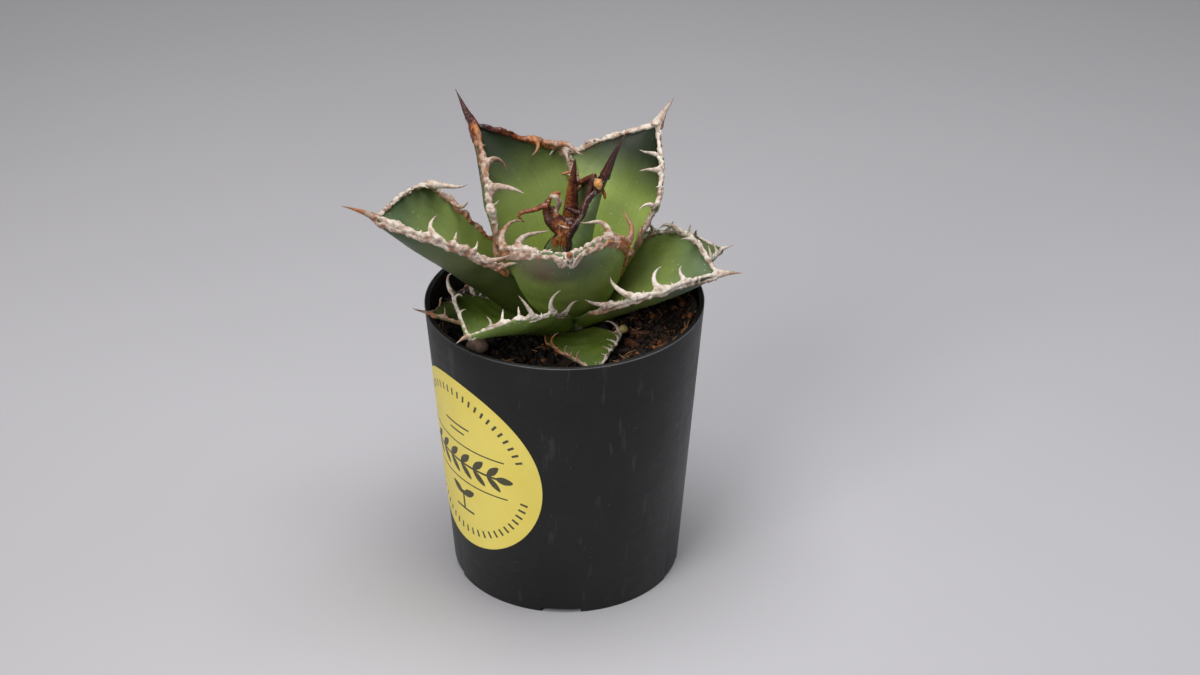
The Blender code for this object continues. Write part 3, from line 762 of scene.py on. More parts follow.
def buildHorn(name, plan):
    count = 110
    places = midrib(plan, count)
    paths = [("spine", 0, spinePath(plan, places[-1]))]
    for rib in keelPaths(plan, places):
        paths.append(("patch", 0, rib))
    for warmth, points in plan["strokes"]:
        path = [(Vector(point[:3]) * mm, point[3], k / len(points), 1.0) for k, point in enumerate(points)]
        paths.append(("stroke", warmth, smoothPath(path)))
    for margin in (-1, 1):
        edges = [(place[0], *marginFrame(plan, place, margin), place[4]) for place in places]
        for lane, band in bandPaths(plan, places, margin):
            paths.append((lane, margin, band))
        for tooth in plan["teeth"]:
            if tooth[0] == margin:
                path = toothPath(plan, edges, tooth)
                paths.append(("tooth", margin, path))
                for rib in flarePaths(plan, edges, tooth, path):
                    paths.append(("edge", margin, rib))
    horn = sweepTubes(name + "_horn", [path for kind, margin, path in paths])
    voxel = hornVoxel * (0.75 if plan["length"] < 45 else 1.0)
    applyModifier(horn, "REMESH", mode="VOXEL", voxel_size=voxel * mm)
    applyModifier(horn, "SMOOTH", factor=0.5, iterations=2)
    marks = [(kind, margin, *mark) for kind, margin, path in paths for mark in path]
    finder = kdtree.KDTree(len(marks))
    for index, mark in enumerate(marks):
        finder.insert(mark[2], index)
    finder.balance()
    tips, warmths, crusts = [], [], []
    normals = [corner.normal.copy() for corner in horn.data.vertices]
    crusty = crustHeight[plan["age"]]
    for corner, normal in zip(horn.data.vertices, normals):
        found = finder.find_n(corner.co, 3)
        weight = warmSum = tipSum = 0.0
        for spot, index, gap in found:
            kind, margin, place, radius, part, t = marks[index]
            if kind == "spine":
                warm = between(plan["spineWarmth"], part)
            elif kind == "stroke":
                warm = margin
            elif kind == "patch":
                warm = plan.get("patchWarmth", plan["spineWarmth"][0] + 0.25 * part)
            else:
                foot, middle, end = plan["warmth"][0 if margin < 0 else 1]
                warm = ramp([(0.2, foot), (0.6, middle), (1.0, end)], t)
                if kind in ("face", "back"):
                    warm += 0.1
            near = 1 / (gap + 0.2 * mm)
            weight += near
            warmSum += warm * near
            tipSum += (part if kind in ("tooth", "spine") else 0.0) * near
        tips.append(tipSum / weight)
        warmths.append(warmSum / weight)
        # wrinkled crust: ridges stand proud and creases lie low
        ridges = 1 - 3 * abs(wobble(corner.co, ridgeSize, 3)) + 0.35 * wobble(corner.co, creaseSize, 8)
        calm = max(0.0, 1 - 2.2 * tips[-1])
        crusts.append(0.5 + 0.5 * (ridges * calm + 0.35 * (1 - calm)))
        corner.co += normal * ridges * crusty * calm * mm
    setPointValues(horn, "toothTip", tips)
    setPointValues(horn, "warmth", warmths)
    setPointValues(horn, "crust", crusts)
    smoothShade(horn, 80)
    return horn


# upper and under are colours at the foot, middle and tip of the blade
leafLooks = {
    "old": dict(upper=[(0.12, 0.17, 0.022), (0.09, 0.135, 0.018), (0.065, 0.10, 0.018)],
                under=[(0.075, 0.10, 0.02), (0.065, 0.085, 0.026), (0.085, 0.10, 0.04)], bloom=0.08),
    "grown": dict(upper=[(0.17, 0.22, 0.03), (0.155, 0.205, 0.046), (0.046, 0.074, 0.034)],
                  under=[(0.052, 0.062, 0.04), (0.067, 0.088, 0.036), (0.08, 0.10, 0.05)], bloom=0.14),
    "young": dict(upper=[(0.13, 0.18, 0.05), (0.11, 0.16, 0.055), (0.09, 0.13, 0.055)],
                  under=[(0.10, 0.15, 0.05), (0.115, 0.17, 0.065), (0.14, 0.18, 0.085)], bloom=0.3),
}


def makeLeafMaterial(name, colours, bloom, glossy):
    material, tree, shader = newMaterial(name)
    surface = addNode(tree, "ShaderNodeUVMap").outputs["UV"]
    parts = splitOf(tree, surface)
    along, across = parts["Y"], parts["X"]
    place = objectPoint(tree)
    drift = noiseOf(tree, place, 60, detail=3)
    shifted = plus(tree, along, times(tree, minus(tree, drift, 0.5), 0.25))
    base = rampOf(tree, shifted, [(0.12, colours[0]), (0.5, colours[1]), (0.92, colours[2])], smooth=True)
    # long faint lines that run with the leaf
    lines = noiseOf(tree, stretched(tree, surface, (60.0, 2.2, 1.0)), 1.0, detail=3)
    streaks = times(tree, lines, rampOf(tree, along, [(0.6, 1.0), (0.85, 0.45)]))
    lined = mixOf(tree, rampOf(tree, streaks, [(0.35, 0.0), (0.7, 0.22)]), base,
                  tuple(c * 1.45 for c in colours[1]))
    # darker, bluer band beside the margins
    middle = sizeOf(tree, minus(tree, across, 0.5))
    side = rampOf(tree, middle, [(0.3, 0.0), (0.5, 0.45)], smooth=True)
    edged = mixOf(tree, side, lined, tuple(c * f for c, f in zip(colours[2], (0.75, 0.85, 0.95))))
    # pale waxy bloom in soft patches
    waxy = patchesOf(tree, place, 95.0, 0.5, 0.2)
    waxed = mixOf(tree, times(tree, waxy, bloom), edged, (0.15, 0.18, 0.12))
    fine = patchesOf(tree, place, 700.0, 0.42, 0.2)
    mottled = mixOf(tree, times(tree, fine, 0.18), waxed, tuple(c * 0.6 for c in colours[1]))
    dots = specksOf(tree, place, 520.0, 0.16, 0.12)
    dotted = mixOf(tree, times(tree, dots, 0.35), mottled, (0.42, 0.42, 0.36))
    blotches = rampOf(tree, noiseOf(tree, place, 260, detail=4), [(0.3, 0.55), (0.6, 1.0)])
    stain = times(tree, attributeOf(tree, "stain"), blotches)
    stained = mixOf(tree, stain, dotted, (0.080, 0.050, 0.039))
    # painted light and shade: the colour is scaled by the leaf's shade attribute
    lit = addNode(tree, "ShaderNodeVectorMath", operation="SCALE")
    feed(tree, stained, lit.inputs[0])
    feed(tree, attributeOf(tree, "shade"), lit.inputs["Scale"])
    feed(tree, lit.outputs[0], shader.inputs["Base Color"])
    feed(tree, rampOf(tree, waxy, [(0.0, glossy), (1.0, glossy + 0.16)]), shader.inputs["Roughness"])
    shader.inputs["Specular IOR Level"].default_value = 0.3
    ridges = plus(tree, times(tree, streaks, 0.6), noiseOf(tree, place, 900, detail=3))
    bumpOf(tree, shader, ridges, 0.35, 0.0003)
    return material


def makeHornMaterial():
    material, tree, shader = newMaterial("horn")
    place = objectPoint(tree)
    tip = attributeOf(tree, "toothTip")
    warmth = attributeOf(tree, "warmth")
    crust = attributeOf(tree, "crust")
    # dark young horn is even, old pale horn is blotched
    coarse = minus(tree, noiseOf(tree, place, 260, detail=4), 0.5)
    fine = minus(tree, noiseOf(tree, place, 1000, detail=4), 0.5)
    blotched = plus(tree, times(tree, coarse, 0.95), times(tree, fine, 0.45))
    uneven = rampOf(tree, warmth, [(0.5, 1.0), (0.85, 0.35)])
    varied = plus(tree, warmth, times(tree, blotched, uneven))
    shade = rampOf(tree, varied, [
        (0.0, (0.56, 0.50, 0.43)), (0.10, (0.48, 0.40, 0.33)), (0.24, (0.33, 0.22, 0.165)),
        (0.38, (0.25, 0.115, 0.06)), (0.54, (0.33, 0.11, 0.022)), (0.68, (0.17, 0.042, 0.014)),
        (0.86, (0.06, 0.016, 0.012)), (1.0, (0.030, 0.012, 0.013))])
    gold = rampOf(tree, minus(tree, warmth, 1.0), [(0.08, 0.0), (0.3, 1.0)])
    shade = mixOf(tree, gold, shade, (0.56, 0.27, 0.085))
    # painted shade: the low creases of the crust are darkened brown, the ridges keep their colour
    paintedCreaseShade = rampOf(tree, crust, [(0.1, 0.6), (0.55, 0.0)])
    shade = mixOf(tree, paintedCreaseShade, shade, (0.13, 0.065, 0.042))
    # points of the teeth and spines dry to grey-brown
    dry = rampOf(tree, tip, [(0.6, 0.0), (1.0, 0.5)])
    tipped = mixOf(tree, dry, shade, (0.16, 0.10, 0.075))
    # chalky crust, only where the horn is old and pale
    chalk = patchesOf(tree, place, 600.0, 0.5, 0.12)
    pale = rampOf(tree, warmth, [(0.15, 1.0), (0.5, 0.0)])
    powder = times(tree, times(tree, chalk, pale), rampOf(tree, crust, [(0.5, 0.0), (0.85, 0.6)]))
    chalky = mixOf(tree, powder, tipped, (0.64, 0.59, 0.53))
    feed(tree, chalky, shader.inputs["Base Color"])
    feed(tree, rampOf(tree, warmth, [(0.3, 0.7), (0.55, 0.36), (0.9, 0.32)]), shader.inputs["Roughness"])
    shader.inputs["Specular IOR Level"].default_value = 0.5
    bumpOf(tree, shader, plus(tree, fine, times(tree, coarse, 1.5)), 0.75, 0.0005)
    return material


leafMaterials = {}
for age, look in leafLooks.items():
    leafMaterials[age] = (makeLeafMaterial(age + "LeafUpper", look["upper"], look["bloom"], 0.42),
                          makeLeafMaterial(age + "LeafUnder", look["under"], look["bloom"] + 0.25, 0.5))
hornMaterial = makeHornMaterial()

for seed, (leafName, plan) in enumerate(leafPlans.items()):
    fillTeeth(plan, seed + 1)
    blade = buildBlade(leafName, plan)
    for leafMaterial in leafMaterials[plan["age"]]:
        blade.data.materials.append(leafMaterial)
    horn = buildHorn(leafName, plan)
    horn.data.materials.append(hornMaterial)
    for leafPiece in (blade, horn):
        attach(leafPiece, "root")
        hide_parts(leafName)
print("leaves grown:", len(leafPlans))


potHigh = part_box("pot")[1]
potPlan = {
    "height": potHigh.z,
    "topRadius": potHigh.x,
    "baseRadius": 43.9 * mm,
    "rimWidth": 2.0 * mm,
    "rimDepth": 3.0 * mm,
    "rimStep": 0.8 * mm,
    "rounding": 0.35 * mm,
    "lip": 0.9 * mm,
    "grooveSides": (0.12 * mm, 0.25 * mm),
    "grooveDepth": 0.28 * mm,
    "wall": 1.2 * mm,
    "floor": 3.6 * mm,
    "underside": 2.0 * mm,
    "footRing": 2.6 * mm,
    "pad": 11.0 * mm,
    "sides": 160,
    "notches": 5,
    "notchWidth": 15 * mm,
    "notchHeight": 1.7 * mm,
    "notchDepth": 10.4 * mm,
    "notchStart": -92,
    "drains": 5,
    "drainRadius": 3.5 * mm,
    "drainCircle": 26 * mm,
    "drillLength": 12 * mm,
}


def wallRadius(z):
    return between((potPlan["baseRadius"], potPlan["topRadius"]), z / potPlan["height"])


def insetSelected(amount):
    bpy.ops.mesh.inset(thickness=amount, use_even_offset=True)


def extrudeSelected(z, scale=1.0):
    bpy.ops.mesh.extrude_region_move(TRANSFORM_OT_translate={"value": (0, 0, z)})
    if scale != 1.0:
        bpy.ops.transform.resize(value=(scale, scale, 1))


def subtract(target, cutter):
    settle(cutter)
    applyModifier(target, "BOOLEAN", operation="DIFFERENCE", solver="EXACT", object=cutter)
    bpy.data.objects.remove(cutter)


def buildPot(plan):
    top, height = plan["topRadius"], plan["height"]
    bpy.ops.mesh.primitive_cone_add(vertices=plan["sides"], radius1=plan["baseRadius"], radius2=top,
                                    depth=height, location=(0, 0, height / 2))
    pot = bpy.context.object
    pot.name = "pot_body"
    settle(pot)
    # mouth: rim, a fine groove round it, then the wall down to the floor
    selectFaces(pot, lambda face: face.normal.z > 0.9)
    for width in (plan["lip"], *plan["grooveSides"]):
        insetSelected(width)
    bpy.ops.object.mode_set(mode="OBJECT")
    bottom = plan["lip"] + plan["grooveSides"][0]
    for corner in pot.data.vertices:
        away = top - corner.co.xy.length
        if corner.co.z > height - mm and abs(away - bottom) < 0.05 * mm:
            corner.co.z -= plan["grooveDepth"]
    selectFaces(pot, lambda face: face.normal.z > 0.9 and face.area > 1e-3)
    insetSelected(plan["rimWidth"] - plan["lip"] - sum(plan["grooveSides"]))
    rimInside = top - plan["rimWidth"]
    extrudeSelected(-plan["rimDepth"])
    wallTop = wallRadius(height - plan["rimDepth"]) - plan["wall"]
    extrudeSelected(-plan["rimStep"], wallTop / rimInside)
    deep = height - plan["rimDepth"] - plan["rimStep"] - plan["floor"]
    floorRadius = wallRadius(plan["floor"]) - plan["wall"]
    extrudeSelected(-deep, floorRadius / wallTop)
    bpy.ops.mesh.select_all(action="DESELECT")
    # underside: foot ring, raised floor, and the pad in the middle
    selectFaces(pot, lambda face: face.normal.z < -0.9 and face.center.z < 0.1 * mm)
    insetSelected(plan["footRing"])
    extrudeSelected(plan["underside"], 0.985)
    insetSelected(plan["baseRadius"] - plan["footRing"] - plan["pad"] - 1.2 * mm)
    extrudeSelected(-plan["underside"], 0.96)
    bpy.ops.object.mode_set(mode="OBJECT")
    applyModifier(pot, "BEVEL", width=plan["rounding"], segments=3, limit_method="ANGLE",
                  angle_limit=math.radians(50))
    for step in range(plan["notches"]):
        angle = math.radians(plan["notchStart"] + step * 360 / plan["notches"])
        bpy.ops.mesh.primitive_cube_add(size=1, rotation=(0, 0, angle), location=(
            plan["baseRadius"] * math.cos(angle), plan["baseRadius"] * math.sin(angle), 0))
        cutter = bpy.context.object
        cutter.scale = (plan["notchDepth"], plan["notchWidth"], plan["notchHeight"] * 2)
        settle(cutter)
        applyModifier(cutter, "BEVEL", width=0.5 * mm, segments=2)
        subtract(pot, cutter)
    for step in range(plan["drains"]):
        angle = 2 * math.pi * step / plan["drains"]
        x, y = plan["drainCircle"] * math.cos(angle), plan["drainCircle"] * math.sin(angle)
        bpy.ops.mesh.primitive_cylinder_add(vertices=32, radius=plan["drainRadius"],
                                            depth=plan["drillLength"], location=(x, y, plan["underside"]))
        subtract(pot, bpy.context.object)
    # the tall wall faces are split, so that their shading stays even
    selectFaces(pot, lambda face: abs(face.normal.z) < 0.3 and face.area > 50e-6)
    bpy.ops.mesh.subdivide(number_cuts=1)
    bpy.ops.object.mode_set(mode="OBJECT")
    smoothShade(pot, 35)
    return pot


def makePotMaterial():
    material, tree, shader = newMaterial("potPlastic")
    place = objectPoint(tree)
    cloud = noiseOf(tree, place, 40, detail=4)
    base = rampOf(tree, cloud, [(0.3, (0.0045, 0.0044, 0.005)), (0.75, (0.0085, 0.0082, 0.009))])
    # fine upright scuffs
    scuffs = noiseOf(tree, stretched(tree, place, (1.0, 1.0, 0.12)), 900, detail=5, roughness=0.7)
    scuffsAndRimHighlight = mixOf(tree, rampOf(tree, scuffs, [(0.6, 0.0), (0.78, 0.3)]), base, (0.06, 0.06, 0.065))
    rubs = patchesOf(tree, stretched(tree, place, (1.0, 1.0, 0.22)), 210.0, 0.37, 0.04)
    scuffsAndRimHighlight = mixOf(tree, times(tree, rubs, 0.3), scuffsAndRimHighlight, (0.055, 0.055, 0.06))
    # painted highlight: a pale line along the outer edge of the rim top stands in for the rim's highlight
    parts = splitOf(tree, place)
    high = mathOf(tree, "GREATER_THAN", parts["Z"], potPlan["height"] - 0.3 * mm)
    squares = [times(tree, parts[axis], parts[axis]) for axis in "XY"]
    outer = mathOf(tree, "GREATER_THAN", plus(tree, *squares), (potPlan["topRadius"] - 0.4 * mm) ** 2)
    lip = times(tree, high, outer)
    scuffsAndRimHighlight = mixOf(tree, times(tree, lip, rampOf(tree, cloud, [(0.3, 0.3), (0.6, 0.8)])),
                    scuffsAndRimHighlight, (0.10, 0.10, 0.105))
    dust = specksOf(tree, place, 420.0, 0.08, 0.12)
    dusty = mixOf(tree, times(tree, dust, 0.4), scuffsAndRimHighlight, (0.30, 0.29, 0.27))
    haze = patchesOf(tree, place, 30.0, 0.48, 0.15)
    feed(tree, mixOf(tree, times(tree, haze, 0.04), dusty, (0.10, 0.10, 0.10)),
         shader.inputs["Base Color"])
    rough = plus(tree, times(tree, haze, 0.10), times(tree, scuffs, 0.18))
    feed(tree, plus(tree, rough, 0.30), shader.inputs["Roughness"])
    shader.inputs["Specular IOR Level"].default_value = 0.33
    swell = noiseOf(tree, stretched(tree, place, (0.35, 0.35, 1.0)), 110, detail=3)
    fine = noiseOf(tree, place, 1500, detail=2)
    bumpOf(tree, shader, plus(tree, times(tree, swell, 2.0), times(tree, fine, 0.05)), 0.35, 0.0006)
    return material


pot = buildPot(potPlan)
pot.data.materials.append(makePotMaterial())
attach(pot, "root")
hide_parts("pot")
print("pot moulded")


labelPlan = {
    "radius": 37.5 * mm,
    "thick": 0.12 * mm,
    "lift": 0.03 * mm,
    "angle": -144.0,
    "height": 59 * mm,
    "rings": 14,
    "sides": 96,
}


def buildLabel(plan):
    bpy.ops.mesh.primitive_circle_add(vertices=plan["sides"], radius=plan["radius"], fill_type="NGON")
    label = bpy.context.object
    label.name = "label_sticker"
    selectFaces(label, lambda face: True)
    for ring in range(plan["rings"]):
        insetSelected(plan["radius"] / (plan["rings"] + 1))
    bpy.ops.mesh.poke()
    bpy.ops.object.mode_set(mode="OBJECT")
    layer = label.data.uv_layers.new(name="print") if not label.data.uv_layers else label.data.uv_layers[0]
    for loop in label.data.loops:
        flat = label.data.vertices[loop.vertex_index].co
        layer.data[loop.index].uv = [0.5 + reach / (2 * plan["radius"]) for reach in (flat.x, flat.y)]
    slant = math.hypot(potPlan["height"], potPlan["topRadius"] - potPlan["baseRadius"]) / potPlan["height"]
    for corner in label.data.vertices:
        z = plan["height"] + corner.co.y / slant
        radius = wallRadius(z) + plan["lift"]
        angle = math.radians(plan["angle"]) + corner.co.x / radius
        corner.co = (radius * math.cos(angle), radius * math.sin(angle), z)
    applyModifier(label, "SOLIDIFY", thickness=plan["thick"], offset=1.0)
    smoothShade(label, 40)
    return label


def makeLabelMaterial():
    material, tree, shader = newMaterial("labelFilm")
    parts = splitOf(tree, addNode(tree, "ShaderNodeUVMap").outputs["UV"])
    # x and y run from -1 to 1 across the disc
    x, y = [minus(tree, times(tree, parts[axis], 2.0), 1.0) for axis in "XY"]

    def both(first, second):
        return times(tree, first, second)

    def inside(value, low, high):
        return both(mathOf(tree, "GREATER_THAN", value, low), mathOf(tree, "LESS_THAN", value, high))

    def either(*masks):
        total = masks[0]
        for mask in masks[1:]:
            total = mathOf(tree, "MAXIMUM", total, mask)
        return total

    def ellipse(cx, cy, width, height, turn):
        dx, dy = minus(tree, x, cx), minus(tree, y, cy)
        c, s = math.cos(turn), math.sin(turn)
        along = plus(tree, times(tree, dx, c), times(tree, dy, s))
        over = minus(tree, times(tree, dy, c), times(tree, dx, s))
        parts = [mathOf(tree, "POWER", sizeOf(tree, mathOf(tree, "DIVIDE", reach, size)), 1.6)
                 for reach, size in ((along, width), (over, height))]
        return mathOf(tree, "LESS_THAN", plus(tree, *parts), 1.0)

    far = mathOf(tree, "SQRT", plus(tree, both(x, x), both(y, y)))
    turn = mathOf(tree, "ARCTAN2", y, x)
    dashes = mathOf(tree, "FRACT", times(tree, plus(tree, turn, math.pi), 60 / (2 * math.pi)))
    ring = both(inside(far, 0.79, 0.87), mathOf(tree, "LESS_THAN", dashes, 0.30))
    ring = both(ring, mathOf(tree, "GREATER_THAN", sizeOf(tree, y), 0.22))
    rules = both(mathOf(tree, "LESS_THAN", sizeOf(tree, x), 0.62), inside(sizeOf(tree, y), 0.215, 0.232))
    # a plain sprig lies between the rules, and a seedling stands under them
    twig = both(inside(x, -0.62, 0.52), inside(sizeOf(tree, y), -1.0, 0.013))
    leaves = [ellipse(0.6, 0.0, 0.10, 0.045, 0.0)]
    for k in range(6):
        for way in (-1, 1):
            leaves.append(ellipse(-0.48 + 0.19 * k, way * 0.075, 0.105, 0.04, way * 0.75))
    stalk = both(inside(sizeOf(tree, x), -1.0, 0.014), inside(y, -0.58, -0.36))
    seedling = [ellipse(0.09, -0.36, 0.10, 0.045, 0.45), ellipse(-0.09, -0.36, 0.10, 0.045, -0.45),
                both(inside(sizeOf(tree, x), -1.0, 0.15), inside(y, -0.60, -0.575))]
    bars = [both(inside(sizeOf(tree, x), -1.0, 0.20), inside(y, 0.44, 0.462)),
            both(inside(sizeOf(tree, x), -1.0, 0.12), inside(y, 0.36, 0.382))]
    printed = either(ring, rules, twig, *leaves, stalk, *seedling, *bars)
    place = objectPoint(tree)
    cloud = noiseOf(tree, place, 50, detail=3)
    yellow = rampOf(tree, cloud, [(0.3, (0.88, 0.72, 0.13)), (0.7, (0.93, 0.78, 0.17))])
    ink = patchesOf(tree, place, 1600.0, 0.62, 0.3)
    solid = times(tree, printed, plus(tree, times(tree, ink, 0.12), 0.85))
    feed(tree, mixOf(tree, solid, yellow, (0.02, 0.02, 0.02)), shader.inputs["Base Color"])
    feed(tree, plus(tree, times(tree, cloud, 0.15), 0.38), shader.inputs["Roughness"])
    bumpOf(tree, shader, noiseOf(tree, place, 700, detail=2), 0.12, 0.0002)
    return material


label = buildLabel(labelPlan)
label.data.materials.append(makeLabelMaterial())
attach(label, "root")
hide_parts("label")
print("label wrapped")


# the soil is a bed with loose grains, crumbs, bark chips and fibres on it
soilPlan = {
    "bottom": 5 * mm,
    "low": 101.5 * mm,
    "rings": 24,
    "heap": 8.0 * mm,
    "reach": 48 * mm,
    "radius": 50.1 * mm,
    "grains": 2300,
    "crumbs": 3000,
    "chips": 110,
    "fibres": 170,
    "grainSize": (1.2, 3.2),
    "crumbSize": (0.5, 1.2),
    "chipSize": (3, 7.5),
    "fibreLength": (3, 9),
    "stalk": 8 * mm,
}


def soilHeight(x, y):
    part = min(max(x / soilPlan["reach"], 0.0), 1.0)
    lumps = noise.noise(Vector((x, y, 0)) / 0.009) * 0.9 + noise.noise(Vector((x, y, 0.1)) / 0.003) * 0.4
    return soilPlan["low"] + soilPlan["heap"] * part ** 1.5 + (lumps - 0.6) * mm


def buildSoilBed(plan):
    low, bottom = plan["low"], plan["bottom"]
    bpy.ops.mesh.primitive_cylinder_add(vertices=96, radius=plan["radius"], depth=low - bottom,
                                        location=(0, 0, (low + bottom) / 2))
    bed = bpy.context.object
    bed.name = "soil_bed"
    settle(bed)
    selectFaces(bed, lambda face: face.normal.z > 0.9)
    for ring in range(plan["rings"]):
        insetSelected(plan["radius"] / (plan["rings"] + 1))
    bpy.ops.mesh.poke()
    bpy.ops.object.mode_set(mode="OBJECT")
    for corner in bed.data.vertices:
        x, y, z = corner.co
        if z > plan["low"] - mm:
            corner.co.z = soilHeight(x, y)
        else:
            shrink = (wallRadius(z) - 1.6 * mm) / plan["radius"]
            corner.co.x *= shrink
            corner.co.y *= shrink
    smoothShade(bed, 60)
    return bed


def makeShape(kind, seed):
    # one loose shape about 1 across, as (points, faces)
    chance = random.Random(seed)
    if kind == "chip":
        bpy.ops.mesh.primitive_cube_add(size=1)
        shape = bpy.context.object
        shape.scale = (1.0, chance.uniform(0.35, 0.6), chance.uniform(0.12, 0.22))
        settle(shape)
        applyModifier(shape, "BEVEL", width=0.05, segments=1)
        rough = 0.12
    else:
        bpy.ops.mesh.primitive_ico_sphere_add(subdivisions=2 if kind == "grain" else 1, radius=0.5)
        shape = bpy.context.object
        shape.scale = (1.0, chance.uniform(0.65, 0.95), chance.uniform(0.55, 0.85))
        settle(shape)
        rough = 0.22
    for corner in shape.data.vertices:
        corner.co *= 1 + rough * noise.noise(corner.co * 2.3 + Vector((seed, 0, seed * 0.5)))
    points = [corner.co.copy() for corner in shape.data.vertices]
    faces = [tuple(face.vertices) for face in shape.data.polygons]
    bpy.data.objects.remove(shape)
    return points, faces


def scatter(name, shapes, spots):
    # spots: (matrix, tone). All copies end in one mesh that carries the tone of each
    points, faces, tones = [], [], []
    for index, (place, tone) in enumerate(spots):
        shapePoints, shapeFaces = shapes[index % len(shapes)]
        first = len(points)
        points += [place @ point for point in shapePoints]
        faces += [tuple(first + corner for corner in face) for face in shapeFaces]
        tones += [tone] * len(shapePoints)
    mesh = bpy.data.meshes.new(name)
    mesh.from_pydata(points, [], faces)
    piece = bpy.data.objects.new(name, mesh)
    bpy.context.scene.collection.objects.link(piece)
    setPointValues(piece, "tone", tones)
    return piece


def looseSpot(chance, inner, outer):
    radius = math.sqrt(chance.uniform(inner ** 2, outer ** 2))
    angle = chance.uniform(0, 2 * math.pi)
    return radius * math.cos(angle), radius * math.sin(angle)


def tumbled(chance, x, y, z, size, flat):
    tilt = 0.5 if flat else math.pi
    turn = (Matrix.Rotation(chance.uniform(0, 2 * math.pi), 4, "Z")
            @ Matrix.Rotation(chance.uniform(-tilt, tilt), 4, "X")
            @ Matrix.Rotation(chance.uniform(-tilt, tilt), 4, "Y"))
    return Matrix.Translation((x, y, z)) @ turn @ Matrix.Scale(size, 4)


def barkAndShadeSide(x):
    # fresh bark lies on the open right side and raises the tone there; further left the tone drops, a
    # painted shade where the leaves shade the soil
    return 0.4 * max(-0.8, x / soilPlan["radius"] - 0.2)


def buildLooseSoil(plan):
    chance = random.Random(11)
    grainShapes = [makeShape("grain", seed) for seed in range(6)]
    chipShapes = [makeShape("chip", seed + 20) for seed in range(5)]
    grains, crumbs, chips = [], [], []
    for count, rows, sizes in ((plan["grains"], grains, plan["grainSize"]),
                               (plan["crumbs"], crumbs, plan["crumbSize"])):
        for _ in range(count):
            size = between(sizes, chance.random() ** 2) * mm
            x, y = looseSpot(chance, plan["stalk"], plan["radius"] - size * 0.6)
            lift = soilHeight(x, y) + size * 0.15 + (0.8 * mm if rows is crumbs else 0.0)
            turned = tumbled(chance, x, y, lift, size, False)
            # the side term adds bark tone on the right and painted shade on the left
            rows.append((turned, chance.random() ** 2.2 + barkAndShadeSide(x) * 0.7))
    for _ in range(plan["chips"]):
        size = chance.uniform(*plan["chipSize"]) * mm
        x, y = looseSpot(chance, plan["stalk"] * 1.6, plan["radius"] - size * 0.5)
        chips.append((tumbled(chance, x, y, soilHeight(x, y) + 1.0 * mm, size, True),
                      0.3 + 0.45 * chance.random() ** 1.5 + barkAndShadeSide(x)))
    crumbShapes = [makeShape("crumb", seed + 40) for seed in range(4)]
    return (scatter("soil_grains", grainShapes, grains), scatter("soil_crumbs", crumbShapes, crumbs),
            scatter("soil_chips", chipShapes, chips))


def buildFibres(plan):
    # short curved strands, thickest along the wall
    chance = random.Random(5)
    paths = []
    for index in range(plan["fibres"]):
        length = chance.uniform(*plan["fibreLength"]) * mm
        if index % 2:
            x, y = looseSpot(chance, plan["radius"] * 0.9, plan["radius"] * 0.97)
            heading = math.atan2(y, x) + math.pi / 2 + chance.uniform(-0.5, 0.5)
        else:
            x, y = looseSpot(chance, plan["stalk"] * 1.5, plan["radius"] * 0.9)
            heading = chance.uniform(0, 2 * math.pi)
        bend = chance.uniform(-160, 160)
        spot = Vector((x, y, soilHeight(x, y) + chance.uniform(0.8, 1.8) * mm))
        path = []
        for k in range(6):
            if spot.xy.length > plan["radius"] * 0.985:
                spot.xy *= plan["radius"] * 0.985 / spot.xy.length
            path.append((spot.copy(), 0.12 + 0.10 * math.sin(math.pi * k / 5), 0, 0))
            heading += bend * length / 6
            spot += Vector((math.cos(heading), math.sin(heading), chance.uniform(-0.25, 0.25))) * length / 6
        paths.append(path)
    fibres = sweepTubes("soil_fibres", paths)
    setPointValues(fibres, "tone", [0.9] * len(fibres.data.vertices))
    return fibres


def makeSoilMaterial(name, stops, rough):
    material, tree, shader = newMaterial(name)
    place = objectPoint(tree)
    tone = attributeOf(tree, "tone")
    spread = times(tree, minus(tree, noiseOf(tree, place, 500, detail=4), 0.5), 0.5)
    shade = rampOf(tree, plus(tree, tone, spread), stops)
    flecks = patchesOf(tree, place, 1800.0, 0.36, 0.1)
    feed(tree, mixOf(tree, times(tree, flecks, 0.35), shade, (0.14, 0.07, 0.03)),
         shader.inputs["Base Color"])
    feed(tree, plus(tree, times(tree, flecks, 0.2), rough), shader.inputs["Roughness"])
    bumpOf(tree, shader, noiseOf(tree, place, 1400, detail=5, roughness=0.7), 0.8, 0.0006)
    return material


soilStops = [(0.0, (0.004, 0.0022, 0.0014)), (0.5, (0.014, 0.006, 0.0028)), (0.8, (0.07, 0.022, 0.006)),
             (1.0, (0.25, 0.088, 0.022))]
soilMaterial = makeSoilMaterial("soilMix", soilStops, 0.62)
fibreMaterial = makeSoilMaterial("soilFibre", [(0.0, (0.10, 0.045, 0.018)), (1.0, (0.36, 0.20, 0.09))], 0.7)
bed = buildSoilBed(soilPlan)
setPointValues(bed, "tone", [0.25] * len(bed.data.vertices))
grains, crumbs, chips = buildLooseSoil(soilPlan)
fibres = buildFibres(soilPlan)
for soilPiece in (bed, grains, crumbs, chips, fibres):
    soilPiece.data.materials.append(fibreMaterial if soilPiece is fibres else soilMaterial)
    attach(soilPiece, "root")
    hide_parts("soil")
print("soil filled")


def buildLump(name, node, seed, amount, grain):
    # a rounded lump that fills the place of its solid
    low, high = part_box(node)
    bpy.ops.mesh.primitive_ico_sphere_add(subdivisions=4, radius=0.5, location=(low + high) / 2)
    lump = bpy.context.object
    lump.name = name
    lump.scale = high - low
    settle(lump)
    middle = (low + high) / 2
    for corner in lump.data.vertices:
        away = corner.co - middle
        swell = wobble(corner.co, grain * 3, seed) * amount + wobble(corner.co, grain, seed) * amount * 0.35
        corner.co = middle + away * (0.97 + swell)
    smoothShade(lump, 180)
    return lump


